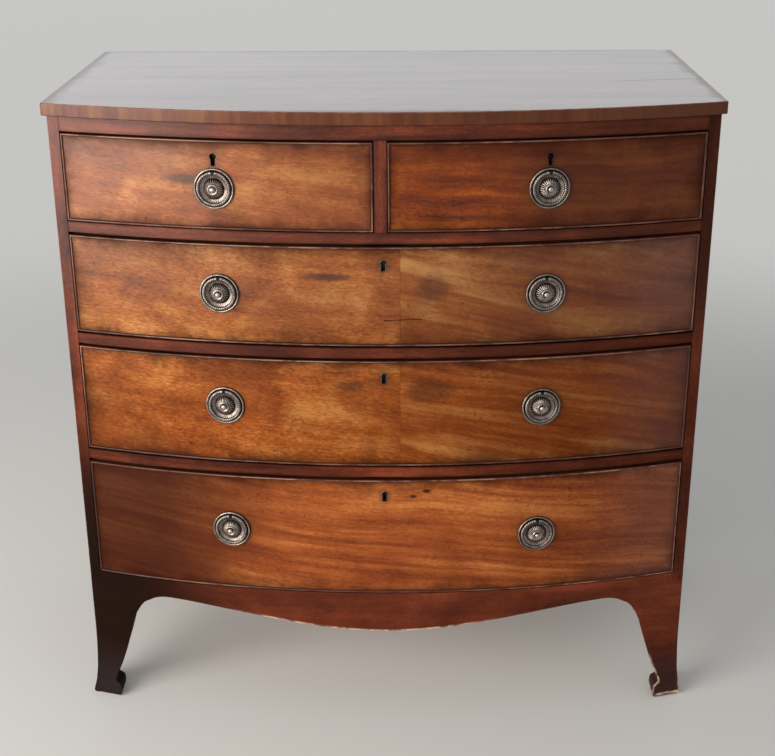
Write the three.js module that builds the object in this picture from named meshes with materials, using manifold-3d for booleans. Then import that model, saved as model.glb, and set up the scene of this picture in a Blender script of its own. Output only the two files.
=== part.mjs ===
// A bow front chest of drawers: two short drawers over three long ones, on splayed bracket feet.
// Millimetres, +Z up. The front faces -Y. The origin is the middle of the chest's footprint, on the floor.
import * as THREE from 'three';
import { mergeVertices } from 'three/addons/utils/BufferGeometryUtils.js';
import Module from 'manifold-3d';

const wasm = await Module();
wasm.setup();

// Driving dimensions of the case
const caseWidth = 1000;
const sideDepth = 477;
const bowRise = 76;
const topThickness = 19;
const topOverhang = 7;
const topEase = 1.2;
const sideThickness = 18;
const topRailHeight = 22.8;
const railThickness = 17;
const railDepth = 70;
const dustThickness = 9;
const backThickness = 10;
const backHousing = 8;
const backGrooveWidth = 3;
const backBoards = 6;
const housingDepth = 6;
const footHeight = 224;
const dividerWidth = 19;
const dividerOffset = -3.4;
const guideHeight = 30;

// Rows of drawers, from the floor up: the opening and the gaps round each drawer front
const rows = {
  bottom: { opening: 211, gapBelow: 1.7, gapAbove: 5.2 },
  middle: { opening: 183.5, gapBelow: 3.2, gapAbove: 4 },
  upper: { opening: 164, gapBelow: 3.4, gapAbove: 4.2 },
  top: { opening: 137.7, gapBelow: 1.6, gapAbove: 2.8 },
};

// Clearances
const fit = 0.3;
const overrun = 5;
const frontSideGap = 1.2;

// Drawers
const frontThickness = 22;
const beadWidth = 3.5;
const beadProud = 1.8;
const beadDepth = 8;
const liningThickness = 9;
const liningTopGap = 8;
const bottomThickness = 6;
const bottomRise = 8;
const grooveDepth = 4;
const rearClearance = 8;
const tailPitchTarget = 46;
const tailBaseShare = 0.5;
const tailTipShare = 0.64;
const tailLap = 1;
const stopWidth = 36;
const stopDepth = 22;
const stopHeight = 5;
const stopPlaceShare = 0.6;

// Locks and keyholes
const keyDrop = 29;
const keyHeadRadius = 3.8;
const keySlotWidth = 4.6;
const keyHeight = 16.5;
const keyDepthInLock = 7;
const keyPinRadius = 0.9;
const keyPinReach = 5;
const lockWidth = 60;
const lockHeight = 42;
const lockDepth = 13;
const boltWidth = 24;
const boltThickness = 5;
const boltHeight = 17;
const boltTravel = 9;
const boltSink = 0.5;
const boltInset = 4;

// Ring pulls
const pullSpread = 492;
const pullOffset = -2;
const pullRise = {
  bottom: { left: 6, right: -1 },
  middle: { left: 8, right: 6 },
  upper: { left: 1, right: 1 },
  top: { left: -5, right: -5 },
};
const plateRadius = 30.7;
const plateThickness = 1.6;
const rimWidth = 3.4;
const rimHeight = 3.4;
const rimCrownShare = 0.25;
const domeBaseRadius = 19.4;
const domeTopRadius = 7.8;
const domeHeight = 8.6;
const fluteCount = 22;
const fluteDepth = 1.1;
const collarRadius = 7.2;
const collarHeight = 1.3;
const knobNeckRadius = 4.4;
const knobRadius = 5;
const knobHeight = 5;
const knobBellyShare = 0.33;
const knobCrownShare = 0.5;
const postRadius = 2.5;
const nutRadius = 7;
const nutThickness = 4;
const ringRadius = 23.8;
const ringTubeRadius = 2.3;
const pivotPinRadius = 1;
const lugWidth = 4.4;
const lugReach = 2.2;
const lugEndGap = 0.6;

// Feet and apron
const toeFlare = 10;
const bracketReach = 105;
const footStock = 20;
const blockSize = 34;
const blockLift = 100;
const archPeakIn = 137;
const archDrop = 15.5;
const apronDrop = 55;
const apronStock = 22;

// The foot's outline, floor to top: its height, its width from the corner and its outward flare
const footHeightShares = [0, 0.03, 0.095, 0.125, 0.165, 0.22, 0.3, 0.4, 0.54, 0.7, 0.8, 0.86, 0.893, 1];
const footWidthShares = [0.34, 0.375, 0.37, 0.295, 0.305, 0.355, 0.43, 0.495, 0.59, 0.69, 0.79, 0.885, 1, 1];
const footFlareShares = [0.6, 1, 0.68, 0.53, 0.42, 0.27, 0.17, 0.07, 0, 0, 0, 0, 0, 0];

// The apron's serpentine lower edge, as shares of its half width and of its rise
const apronControlShares = { firstAcross: 0.36, secondAcross: 0.7, secondUp: 0.89, shoulderAcross: 0.6 };

// Fineness of round forms
const bowFacets = 12;
const beadFacets = 3;
const footFacets = 3;
const plateFacets = 16;
const knobFacets = 10;
const ringFacets = 16;
const ringSides = 6;
const pinSides = 6;
const arcSteps = 4;

// Places worked out from the sizes above
const halfWidth = caseWidth / 2;
const bowRadius = (halfWidth * halfWidth + bowRise * bowRise) / (2 * bowRise);
const bowCentreY = bowRadius - bowRise;
const openingHalf = halfWidth - sideThickness;
const footprintMiddleY = (sideDepth - bowRise - topOverhang) / 2;
const backFaceY = sideDepth - backThickness;
const boxBackY = backFaceY - rearClearance;
const bracketTipHeight = footHeight * footHeightShares.at(-2);
const archPeakHeight = footHeight - archDrop;
const apronCentreHeight = footHeight - apronDrop;
const pullPlace = { left: pullOffset - pullSpread / 2, right: pullOffset + pullSpread / 2 };

let level = footHeight + railThickness;
for (const name of ['bottom', 'middle', 'upper', 'top']) {
  rows[name].floor = level;
  rows[name].ceiling = level + rows[name].opening;
  level = rows[name].ceiling + railThickness;
}
const topRailBottom = rows.top.ceiling;
const caseTop = topRailBottom + topRailHeight;

// Finishes
const finishes = {
  veneer: { color: 0x8a4a22, roughness: 0.32, metalness: 0 },
  carcase: { color: 0x5a2c1a, roughness: 0.35, metalness: 0 },
  bead: { color: 0x7a4a36, roughness: 0.4, metalness: 0 },
  lining: { color: 0x9a7446, roughness: 0.65, metalness: 0 },
  backing: { color: 0x8a6a44, roughness: 0.75, metalness: 0 },
  brass: { color: 0x8d8272, roughness: 0.35, metalness: 1 },
  lock: { color: 0x6f6656, roughness: 0.45, metalness: 1 },
};

// How far back the bow lies at a place across the front, moved outwards by an offset
function bowY(x, outwards = 0) {
  const radius = bowRadius + outwards;
  return bowCentreY - Math.sqrt(radius * radius - x * x);
}

// A closed surface as a solid that can be joined and cut
function toSolid(geometry) {
  const bare = geometry.clone();
  bare.deleteAttribute('normal');
  bare.deleteAttribute('uv');
  const merged = mergeVertices(bare, 1e-4);
  return new wasm.Manifold(new wasm.Mesh({
    numProp: 3,
    vertProperties: new Float32Array(merged.attributes.position.array),
    triVerts: new Uint32Array(merged.index.array),
  }));
}

// The faces of a solid, for a mesh
function toGeometry(solid) {
  const mesh = solid.getMesh();
  const geometry = new THREE.BufferGeometry();
  const stride = mesh.numProp;
  const places = new Float32Array(mesh.numVert * 3);
  for (let vertex = 0; vertex < mesh.numVert; vertex += 1) {
    places.set(mesh.vertProperties.subarray(vertex * stride, vertex * stride + 3), vertex * 3);
  }
  geometry.setAttribute('position', new THREE.BufferAttribute(places, 3));
  geometry.setIndex(new THREE.BufferAttribute(new Uint32Array(mesh.triVerts), 1));
  geometry.computeVertexNormals();
  return geometry;
}

// A block between two corners
function block(x0, x1, y0, y1, z0, z1) {
  const geometry = new THREE.BoxGeometry(x1 - x0, y1 - y0, z1 - z0);
  geometry.translate((x0 + x1) / 2, (y0 + y1) / 2, (z0 + z1) / 2);
  return toSolid(geometry);
}

// A plan outline raised from one height to another
function raise(shape, z0, z1, facets = 1) {
  const geometry = new THREE.ExtrudeGeometry(shape, { depth: z1 - z0, bevelEnabled: false, curveSegments: facets });
  geometry.translate(0, 0, z0);
  return geometry;
}

// An outline drawn in depth and height, carried across from one x to another
function carryAcross(shape, x0, x1, facets = 1) {
  const geometry = raise(shape, x0, x1, facets);
  const turn = new THREE.Matrix4().makeBasis(
    new THREE.Vector3(0, 1, 0), new THREE.Vector3(0, 0, 1), new THREE.Vector3(1, 0, 0));
  geometry.applyMatrix4(turn);
  return geometry;
}

// An outline drawn across and up, carried backwards from one y to another
function carryBack(shape, yFront, yBack, facets = 1) {
  const geometry = raise(shape, -yBack, -yFront, facets);
  const turn = new THREE.Matrix4().makeBasis(
    new THREE.Vector3(1, 0, 0), new THREE.Vector3(0, 0, 1), new THREE.Vector3(0, -1, 0));
  geometry.applyMatrix4(turn);
  return geometry;
}

// Places along the front where every bowed face turns, between two given ends
function bowPlaces(x0, x1) {
  const turns = Array.from({ length: bowFacets + 1 }, (_, index) => (index / bowFacets - 1 / 2) * caseWidth);
  return [x0, ...turns.filter((x) => x > x0 + fit && x < x1 - fit), x1];
}

function bowEdge(x0, x1, outwards) {
  return bowPlaces(x0, x1).map((x) => new THREE.Vector2(x, bowY(x, outwards)));
}

// A band that follows the bow, with its front and back faces at given offsets from the case's face
function bowBand(x0, x1, z0, z1, frontOut, backOut) {
  const outline = [...bowEdge(x0, x1, frontOut), ...bowEdge(x0, x1, backOut).reverse()];
  return toSolid(raise(new THREE.Shape(outline), z0, z1));
}

// A board with a bowed front edge and a straight back edge
function bowBoard(x0, x1, z0, z1, frontOut, backY) {
  const outline = [...bowEdge(x0, x1, frontOut), new THREE.Vector2(x1, backY), new THREE.Vector2(x0, backY)];
  return toSolid(raise(new THREE.Shape(outline), z0, z1));
}

// Where a fitting sits square to the bow: its local x runs along the face and its local y goes inwards
function seatOnBow(x, z) {
  const seat = new THREE.Matrix4().makeRotationZ(Math.asin(x / bowRadius));
  seat.setPosition(x, bowY(x), z);
  return seat;
}

// A skin between rings of points, closed by caps on its ends or by meeting itself
function skin(rings, meetsItself) {
  const points = rings.flat();
  const count = rings[0].length;
  const faces = [];
  const spans = meetsItself ? rings.length : rings.length - 1;
  for (let ring = 0; ring < spans; ring += 1) {
    const here = ring * count;
    const there = ((ring + 1) % rings.length) * count;
    for (let point = 0; point < count; point += 1) {
      const next = (point + 1) % count;
      faces.push(here + point, here + next, there + next);
      faces.push(here + point, there + next, there + point);
    }
  }
  if (!meetsItself) {
    const last = (rings.length - 1) * count;
    for (let point = 1; point < count - 1; point += 1) {
      faces.push(0, point + 1, point);
      faces.push(last, last + point, last + point + 1);
    }
  }
  const geometry = new THREE.BufferGeometry();
  geometry.setAttribute('position', new THREE.Float32BufferAttribute(points.flatMap((p) => [p.x, p.y, p.z]), 3));
  geometry.setIndex(faces);
  return geometry;
}

// A turned form on the local inward axis: its profile is radius and height above the drawer's face
function turned(profile, facets) {
  const geometry = new THREE.LatheGeometry(profile.map(([r, h]) => new THREE.Vector2(r, h)), facets);
  geometry.rotateX(Math.PI);
  return toSolid(geometry);
}

const chest = new THREE.Group();
chest.position.y = -footprintMiddleY;

function addPiece(name, shape, finish, parent = chest) {
  const geometry = shape.isBufferGeometry ? shape : toGeometry(shape);
  const mesh = new THREE.Mesh(geometry, new THREE.MeshStandardMaterial(finishes[finish]));
  mesh.name = name;
  parent.add(mesh);
  return mesh;
}

// Top board with a lightly eased square edge
function topBoard() {
  const reach = halfWidth + topOverhang - topEase;
  const backY = sideDepth - topEase;
  const outline = [...bowEdge(-reach, reach, topOverhang - topEase),
    new THREE.Vector2(reach, backY), new THREE.Vector2(-reach, backY)];
  const geometry = new THREE.ExtrudeGeometry(new THREE.Shape(outline), {
    depth: topThickness - 2 * topEase,
    bevelEnabled: true,
    bevelThickness: topEase,
    bevelSize: topEase,
    bevelSegments: 1,
  });
  geometry.translate(0, 0, caseTop + topEase);
  return toSolid(geometry);
}

// A stopped housing cut in both sides for a board that ends in them, so that the stiles stay whole in front
function housing(z0, z1, backY) {
  const reach = openingHalf + housingDepth + fit;
  return bowBoard(-reach, reach, z0 - fit, z1 + fit, fit - frontThickness, backY + fit);
}

// Side board: its front end is the stile, cut to the bow, and its foot end is notched round the feet
function sideBoard(side) {
  const shape = new THREE.Shape();
  shape.moveTo(-bowRise, footHeight);
  shape.lineTo(bracketReach, footHeight);
  shape.lineTo(bracketReach, bracketTipHeight);
  shape.lineTo(sideDepth - bracketReach, bracketTipHeight);
  shape.lineTo(sideDepth - bracketReach, footHeight);
  shape.lineTo(sideDepth, footHeight);
  shape.lineTo(sideDepth, caseTop);
  shape.lineTo(-bowRise, caseTop);
  shape.closePath();
  const near = Math.min(side * openingHalf, side * halfWidth);
  const far = Math.max(side * openingHalf, side * halfWidth);
  let board = toSolid(carryAcross(shape, near, far));
  board = board.intersect(bowBoard(-halfWidth, halfWidth, 0, caseTop + overrun, 0, sideDepth + overrun));
  board = board.subtract(housing(footHeight, footHeight + railThickness, backFaceY));
  for (const name of ['middle', 'upper', 'top']) {
    board = board.subtract(housing(rows[name].floor - railThickness, rows[name].floor, backFaceY));
  }
  const rebate = openingHalf + backHousing + fit;
  return board.subtract(block(-rebate, rebate, backFaceY - fit, sideDepth + overrun, 0, caseTop + overrun));
}

// Back of vertical boards, marked by the grooves between them
function backPanel() {
  const reach = openingHalf + backHousing;
  let panel = block(-reach, reach, backFaceY, sideDepth, footHeight, caseTop);
  for (let joint = 1; joint < backBoards; joint += 1) {
    const x = -reach + (2 * reach * joint) / backBoards;
    const half = backGrooveWidth / 2;
    panel = panel.subtract(block(x - half, x + half, sideDepth - half, sideDepth + overrun, 0, caseTop + overrun));
  }
  return panel;
}

// The mortise above a drawer's lock that takes its bolt
function boltMortise(x, z) {
  const half = boltWidth / 2 + 2 * fit;
  const front = frontThickness - boltInset - boltThickness - 2 * fit;
  const cut = block(-half, half, front, frontThickness - boltInset + 2 * fit, -overrun, boltTravel);
  return cut.transform(seatOnBow(x, z).elements);
}

// Rail between two rows, with its dust board and the two stops for the drawers that it carries
function divisionRail(name, boltX) {
  const upper = rows[name].floor;
  const lower = upper - railThickness;
  const reach = openingHalf + housingDepth;
  const rail = bowBoard(-openingHalf, openingHalf, lower, upper, 0, railDepth);
  const ends = bowBoard(-reach, reach, lower, upper, -frontThickness, railDepth);
  const dust = block(-reach, reach, railDepth - overrun, backFaceY - fit, upper - dustThickness, upper);
  let board = rail.add(ends).add(dust);
  board = board.subtract(boltMortise(boltX, lower));
  return addStops(board, upper);
}

function addStops(board, upper) {
  let stopped = board;
  for (const side of [-1, 1]) {
    const x = side * stopPlaceShare * openingHalf;
    const stop = block(-stopWidth / 2, stopWidth / 2, frontThickness + 2 * fit,
      frontThickness + stopDepth, -overrun, stopHeight);
    stopped = stopped.add(stop.transform(seatOnBow(x, upper).elements));
  }
  return stopped;
}

// Bottom board with the bowed apron glued under its front edge
function bottomBoard() {
  const upper = footHeight + railThickness;
  const reach = openingHalf + housingDepth;
  const face = bowBoard(-openingHalf, openingHalf, footHeight, upper, 0, railDepth);
  const board = bowBoard(-reach, reach, footHeight, upper, -frontThickness, backFaceY - fit);
  return addStops(face.add(board).add(apron()), upper);
}

function apron() {
  const end = halfWidth - bracketReach;
  const peak = halfWidth - archPeakIn;
  const rise = archPeakHeight - apronCentreHeight;
  const { firstAcross, secondAcross, secondUp, shoulderAcross } = apronControlShares;
  const secondHeight = apronCentreHeight + secondUp * rise;
  const shoulder = peak + shoulderAcross * (end - peak);
  const shape = new THREE.Shape();
  shape.moveTo(-end, footHeight + fit);
  shape.lineTo(-end, bracketTipHeight);
  shape.quadraticCurveTo(-shoulder, archPeakHeight, -peak, archPeakHeight);
  shape.bezierCurveTo(-secondAcross * peak, secondHeight, -firstAcross * peak, apronCentreHeight, 0, apronCentreHeight);
  shape.bezierCurveTo(firstAcross * peak, apronCentreHeight, secondAcross * peak, secondHeight, peak, archPeakHeight);
  shape.quadraticCurveTo(shoulder, archPeakHeight, end, bracketTipHeight);
  shape.lineTo(end, footHeight + fit);
  shape.closePath();
  const sawn = toSolid(carryBack(shape, -bowRise - overrun, sideDepth, arcSteps));
  return sawn.intersect(bowBand(-end, end, 0, footHeight + fit, 0, -apronStock));
}

function topRail() {
  let rail = bowBoard(-openingHalf, openingHalf, topRailBottom, caseTop, 0, railDepth);
  for (const x of Object.values(pullPlace)) {
    rail = rail.subtract(boltMortise(x, topRailBottom));
  }
  return rail;
}

// Upright between the two short drawers, with the guide that runs back from it
function centreDivider() {
  const x0 = dividerOffset - dividerWidth / 2;
  const x1 = dividerOffset + dividerWidth / 2;
  const { floor, ceiling } = rows.top;
  const post = bowBoard(x0, x1, floor, ceiling, 0, railDepth);
  return post.add(block(x0, x1, railDepth - overrun, backFaceY - fit, floor, floor + guideHeight));
}

// One facing of a foot: rings of points from the floor to the case's underside
function footRings(ringAt) {
  return footHeightShares.map((share, index) => ringAt(
    share * footHeight, footWidthShares[index] * bracketReach, footFlareShares[index] * toeFlare));
}

// Splayed bracket foot at a front corner: a bowed front facing, a side facing and the block behind them
function frontFoot(side) {
  const corners = Array.from({ length: footFacets + 1 }, (_, index) => index / footFacets);
  const front = footRings((z, width, flare) => {
    const inner = halfWidth - width;
    const outer = halfWidth + flare;
    const face = corners.map((share) => {
      const x = inner + share * (outer - inner);
      return new THREE.Vector3(x, bowY(Math.min(x, halfWidth)) - flare, z);
    });
    return [...face, new THREE.Vector3(outer, footStock, z), new THREE.Vector3(inner, footStock, z)];
  });
  const flank = footRings((z, width, flare) => [
    new THREE.Vector3(halfWidth - footStock, 0, z),
    new THREE.Vector3(halfWidth + flare, 0, z),
    new THREE.Vector3(halfWidth + flare, width, z),
    new THREE.Vector3(halfWidth - footStock, width, z),
  ]);
  return cornerFoot(front, flank, footStock - fit, side);
}

// Foot at a back corner: the same side facing turned about, and a plain bracket along the back
function backFoot(side) {
  const rear = footRings((z, width, flare) => [
    new THREE.Vector3(halfWidth - width, sideDepth - footStock, z),
    new THREE.Vector3(halfWidth + flare, sideDepth - footStock, z),
    new THREE.Vector3(halfWidth + flare, sideDepth, z),
    new THREE.Vector3(halfWidth - width, sideDepth, z),
  ]);
  const flank = footRings((z, width, flare) => [
    new THREE.Vector3(halfWidth - footStock, sideDepth - width, z),
    new THREE.Vector3(halfWidth + flare, sideDepth - width, z),
    new THREE.Vector3(halfWidth + flare, sideDepth, z),
    new THREE.Vector3(halfWidth - footStock, sideDepth, z),
  ]);
  return cornerFoot(rear, flank, sideDepth - footStock - blockSize, side);
}

// Joins a foot's two facings and the glued block behind them, which stops above the ankle
function cornerFoot(faceRings, flankRings, blockY, side) {
  const inner = halfWidth - footStock - blockSize;
  const corner = block(inner, halfWidth - footStock + fit, blockY, blockY + blockSize + fit, blockLift, footHeight);
  const foot = toSolid(skin(faceRings, false)).add(toSolid(skin(flankRings, false))).add(corner);
  return side > 0 ? foot : foot.mirror([1, 0, 0]);
}

// Keyhole outline, round above and slotted below, about its own middle
function keyholeOutline() {
  const headMiddle = keyHeight / 2 - keyHeadRadius;
  const halfSlot = keySlotWidth / 2;
  const start = Math.asin(halfSlot / keyHeadRadius) - Math.PI / 2;
  const shape = new THREE.Shape();
  shape.moveTo(-halfSlot, -keyHeight / 2);
  shape.lineTo(halfSlot, -keyHeight / 2);
  shape.absarc(0, headMiddle, keyHeadRadius, start, Math.PI - start, false);
  shape.closePath();
  return shape;
}

function keyholeCut(depthFrom, depthTo) {
  return toSolid(carryBack(keyholeOutline(), depthFrom, depthTo, 2 * arcSteps));
}

// The cockbead: a thin strip let in all round a drawer front, with a round nose that stands proud
function cockbead(x0, x1, z0, z1) {
  const nose = beadWidth / 2;
  const section = [[0, -beadDepth]];
  for (let step = 0; step <= beadFacets; step += 1) {
    const turn = (Math.PI * step) / beadFacets;
    section.push([nose - nose * Math.cos(turn), beadProud - nose + nose * Math.sin(turn)]);
  }
  section.push([beadWidth, -beadDepth]);
  const between = bowPlaces(x0 + beadWidth, x1 - beadWidth).slice(1, -1);
  const rings = section.map(([inset, out]) => {
    const places = [x0 + inset, ...between, x1 - inset];
    const run = (z) => places.map((x) => new THREE.Vector3(x, bowY(x, out), z));
    return [...run(z0 + inset), ...run(z1 - inset).reverse()];
  });
  return skin(rings, true);
}

// Dovetails that lock a drawer side to its front: where each stands and how wide it is
function tails(z0, z1, grow) {
  const count = Math.max(2, Math.round((z1 - z0) / tailPitchTarget));
  const pitch = (z1 - z0) / count;
  return Array.from({ length: count }, (_, index) => {
    const middle = z0 + (index + 1 / 2) * pitch;
    return {
      middle,
      base: (pitch * tailBaseShare) / 2 + grow,
      tip: (pitch * tailTipShare) / 2 + grow,
    };
  });
}

// Drawer side, outlined in depth and height, with its tails at the front
function liningSide(x0, x1, tipY, shoulderY, z0, z1) {
  const shape = new THREE.Shape();
  shape.moveTo(boxBackY, z0);
  shape.lineTo(boxBackY, z1);
  shape.lineTo(shoulderY, z1);
  for (const tail of tails(z0, z1, 0).reverse()) {
    shape.lineTo(shoulderY, tail.middle + tail.base);
    shape.lineTo(tipY, tail.middle + tail.tip);
    shape.lineTo(tipY, tail.middle - tail.tip);
    shape.lineTo(shoulderY, tail.middle - tail.base);
  }
  shape.lineTo(shoulderY, z0);
  shape.closePath();
  return toSolid(carryAcross(shape, x0, x1));
}

function tailSocket(x0, x1, tipY, shoulderY, tail) {
  const slope = (tail.tip - tail.base) / (shoulderY - tipY);
  const mouthY = shoulderY + overrun;
  const mouth = tail.base - slope * overrun;
  const shape = new THREE.Shape();
  shape.moveTo(tipY - fit, tail.middle - tail.tip);
  shape.lineTo(mouthY, tail.middle - mouth);
  shape.lineTo(mouthY, tail.middle + mouth);
  shape.lineTo(tipY - fit, tail.middle + tail.tip);
  shape.closePath();
  return toSolid(carryAcross(shape, x0, x1));
}

// One drawer: front, cockbead, dovetailed lining, bottom, lock and its pulls
function addDrawer(name, rowName, left, right, keyX, pullPlaces) {
  const row = rows[rowName];
  const z0 = row.floor + row.gapBelow;
  const z1 = row.ceiling - row.gapAbove;
  const liningBottom = row.floor + fit;
  const liningTop = row.ceiling - liningTopGap;
  const bottomZ = liningBottom + bottomRise;
  const rebate = beadWidth + fit;

  const ends = [
    { outer: left, inner: left + liningThickness },
    { outer: right, inner: right - liningThickness },
  ].map(({ outer, inner }) => {
    const places = [outer, inner];
    const tipY = Math.max(...places.map((x) => bowY(x, -beadDepth - fit))) + tailLap;
    const shoulderY = Math.max(...places.map((x) => bowY(x, -frontThickness))) + fit;
    return { x0: Math.min(outer, inner), x1: Math.max(outer, inner), tipY, shoulderY };
  });

  let front = bowBand(left + rebate, right - rebate, z0 + rebate, z1 - rebate, 0, -frontThickness);
  front = front.add(bowBand(left, right, z0, z1, -beadDepth - fit, -frontThickness));
  for (const end of ends) {
    for (const tail of tails(liningBottom, liningTop, fit)) {
      const low = end.x0 - (end.x0 === left ? overrun : fit);
      const high = end.x1 + (end.x1 === right ? overrun : fit);
      front = front.subtract(tailSocket(low, high, end.tipY, end.shoulderY, tail));
    }
  }
  front = front.subtract(bowBand(left - overrun, right + overrun, bottomZ - fit, bottomZ + bottomThickness + fit,
    grooveDepth - frontThickness + fit, -frontThickness - overrun));
  const lockSeat = seatOnBow(keyX, z1);
  const lockFront = frontThickness - lockDepth;
  const recess = block(-lockWidth / 2 - fit, lockWidth / 2 + fit, lockFront - fit,
    frontThickness + overrun, -lockHeight - fit, overrun);
  front = front.subtract(recess.transform(lockSeat.elements));
  const keySeat = seatOnBow(keyX, z1 - keyDrop);
  front = front.subtract(keyholeCut(-overrun, frontThickness + overrun).transform(keySeat.elements));
  for (const place of pullPlaces) {
    const bore = new THREE.CylinderGeometry(postRadius + fit, postRadius + fit, 2 * frontThickness + overrun, pinSides);
    front = front.subtract(toSolid(bore).transform(seatOnBow(place.x, place.z).elements));
  }
  addPiece(`${name}_front`, front, 'veneer');
  addPiece(`${name}_cockbead`, cockbead(left, right, z0, z1), 'bead');

  let lining = liningSide(ends[0].x0, ends[0].x1, ends[0].tipY, ends[0].shoulderY, liningBottom, liningTop);
  lining = lining.add(liningSide(ends[1].x0, ends[1].x1, ends[1].tipY, ends[1].shoulderY, liningBottom, liningTop));
  lining = lining.add(block(left, right, boxBackY - liningThickness, boxBackY,
    bottomZ + bottomThickness + fit, liningTop));
  const grooveLeft = left + liningThickness - grooveDepth - fit;
  const grooveRight = right - liningThickness + grooveDepth + fit;
  lining = lining.subtract(block(grooveLeft, grooveRight, -bowRise - overrun, boxBackY + overrun,
    bottomZ - fit, bottomZ + bottomThickness + fit));
  addPiece(`${name}_lining`, lining, 'lining');
  addPiece(`${name}_bottom`, bowBoard(grooveLeft + fit, grooveRight - fit, bottomZ, bottomZ + bottomThickness,
    grooveDepth - frontThickness, boxBackY), 'lining');

  addLock(name, lockSeat, lockFront);
  pullPlaces.forEach((place) => addPull(`${name}_${place.name}`, seatOnBow(place.x, place.z)));
}

// Drawer lock let into the back of the front, with the bolt that rises out of its top edge
function addLock(name, seat, lockFront) {
  const boltFront = frontThickness - boltInset - boltThickness;
  const boltBack = frontThickness - boltInset;
  let lock = block(-lockWidth / 2, lockWidth / 2, lockFront, frontThickness, -lockHeight, 0);
  lock = lock.subtract(block(-boltWidth / 2 - fit, boltWidth / 2 + fit, boltFront - fit, boltBack + fit,
    -boltHeight - boltSink - fit, overrun));
  const keyway = keyholeCut(lockFront - overrun, lockFront + keyDepthInLock);
  lock = lock.subtract(keyway.translate([0, 0, -keyDrop]));
  const pinLength = keyPinReach + keyDepthInLock + fit;
  const pin = toSolid(new THREE.CylinderGeometry(keyPinRadius, keyPinRadius, pinLength, pinSides));
  const pinMiddle = lockFront + keyDepthInLock + fit - pinLength / 2;
  lock = lock.add(pin.translate([0, pinMiddle, keyHeight / 2 - keyHeadRadius - keyDrop]));
  addPiece(`${name}_lock`, lock.transform(seat.elements), 'lock');
  const bolt = block(-boltWidth / 2, boltWidth / 2, boltFront, boltBack, -boltHeight - boltSink, -boltSink);
  addPiece(`${name}_lock_bolt`, bolt.transform(seat.elements), 'lock');
}

// The fluted dome of a back plate: ridges and hollows that narrow towards the collar
function flutedDome() {
  const levels = [
    { height: plateThickness - fit, radius: domeBaseRadius, depth: fluteDepth },
    { height: domeHeight, radius: domeTopRadius, depth: fluteDepth / 2 },
  ];
  const rings = levels.map(({ height, radius, depth }) => Array.from({ length: 2 * fluteCount }, (_, point) => {
    const angle = (Math.PI * point) / fluteCount;
    const reach = radius - (point % 2) * depth;
    return new THREE.Vector3(reach * Math.cos(angle), -height, reach * Math.sin(angle));
  }));
  return skin(rings, false);
}

// Ring pull: a back plate held by a post and nut, and a ring hinged on the plate's lug
function addPull(name, seat) {
  const rimIn = plateRadius - rimWidth;
  const crownIn = rimIn + rimCrownShare * rimWidth;
  const crownOut = plateRadius - rimCrownShare * rimWidth;
  let plate = turned([[0, 0], [plateRadius - fit, 0], [plateRadius, plateThickness], [crownOut, rimHeight],
    [crownIn, rimHeight], [rimIn, plateThickness], [0, plateThickness]], plateFacets);
  plate = plate.add(toSolid(flutedDome()));
  const collarTop = domeHeight + collarHeight;
  const knobTop = domeHeight + knobHeight;
  plate = plate.add(turned([[0, domeHeight - fit], [collarRadius, domeHeight - fit], [collarRadius, collarTop],
    [knobNeckRadius, collarTop], [knobRadius, collarTop + knobBellyShare * knobHeight],
    [knobCrownShare * knobRadius, knobTop], [0, knobTop]], knobFacets));
  const nutFront = frontThickness + 3 * fit;
  const nutBack = nutFront + nutThickness;
  plate = plate.add(turned([[0, -nutBack], [nutRadius, -nutBack], [nutRadius, -nutFront],
    [postRadius, -nutFront], [postRadius, fit], [0, fit]], pinSides));
  const pivotHeight = plateThickness + fit + ringTubeRadius;
  const lugTop = pivotHeight + lugReach;
  const lugHalf = lugWidth / 2;
  let lug = block(-lugHalf, lugHalf, -lugTop, fit - plateThickness, ringRadius - lugReach, ringRadius + lugReach);
  const hole = new THREE.CylinderGeometry(pivotPinRadius + fit, pivotPinRadius + fit, lugWidth + overrun, pinSides);
  hole.rotateZ(Math.PI / 2);
  lug = lug.subtract(toSolid(hole).translate([0, -pivotHeight, ringRadius]));
  const plateSolid = plate.add(lug).translate([0, -fit, 0]);
  addPiece(`${name}_plate`, plateSolid.transform(seat.elements), 'brass');

  const endAngle = (lugHalf + lugEndGap) / ringRadius;
  const rings = Array.from({ length: ringFacets + 1 }, (_, index) => {
    const angle = Math.PI / 2 + endAngle + ((2 * Math.PI - 2 * endAngle) * index) / ringFacets;
    return Array.from({ length: ringSides }, (_, point) => {
      const turn = (2 * Math.PI * point) / ringSides;
      const radius = ringRadius + ringTubeRadius * Math.cos(turn);
      const height = pivotHeight - ringTubeRadius * Math.sin(turn);
      return new THREE.Vector3(radius * Math.cos(angle), -height, radius * Math.sin(angle));
    });
  });
  const pinLength = lugWidth + 2 * lugEndGap + ringTubeRadius;
  const pin = new THREE.CylinderGeometry(pivotPinRadius, pivotPinRadius, pinLength, pinSides);
  pin.rotateZ(Math.PI / 2);
  const ring = toSolid(skin(rings, false)).add(toSolid(pin).translate([0, -pivotHeight, ringRadius]));
  addPiece(`${name}_ring`, ring.translate([0, -fit, 0]).transform(seat.elements), 'brass');
}

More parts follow.
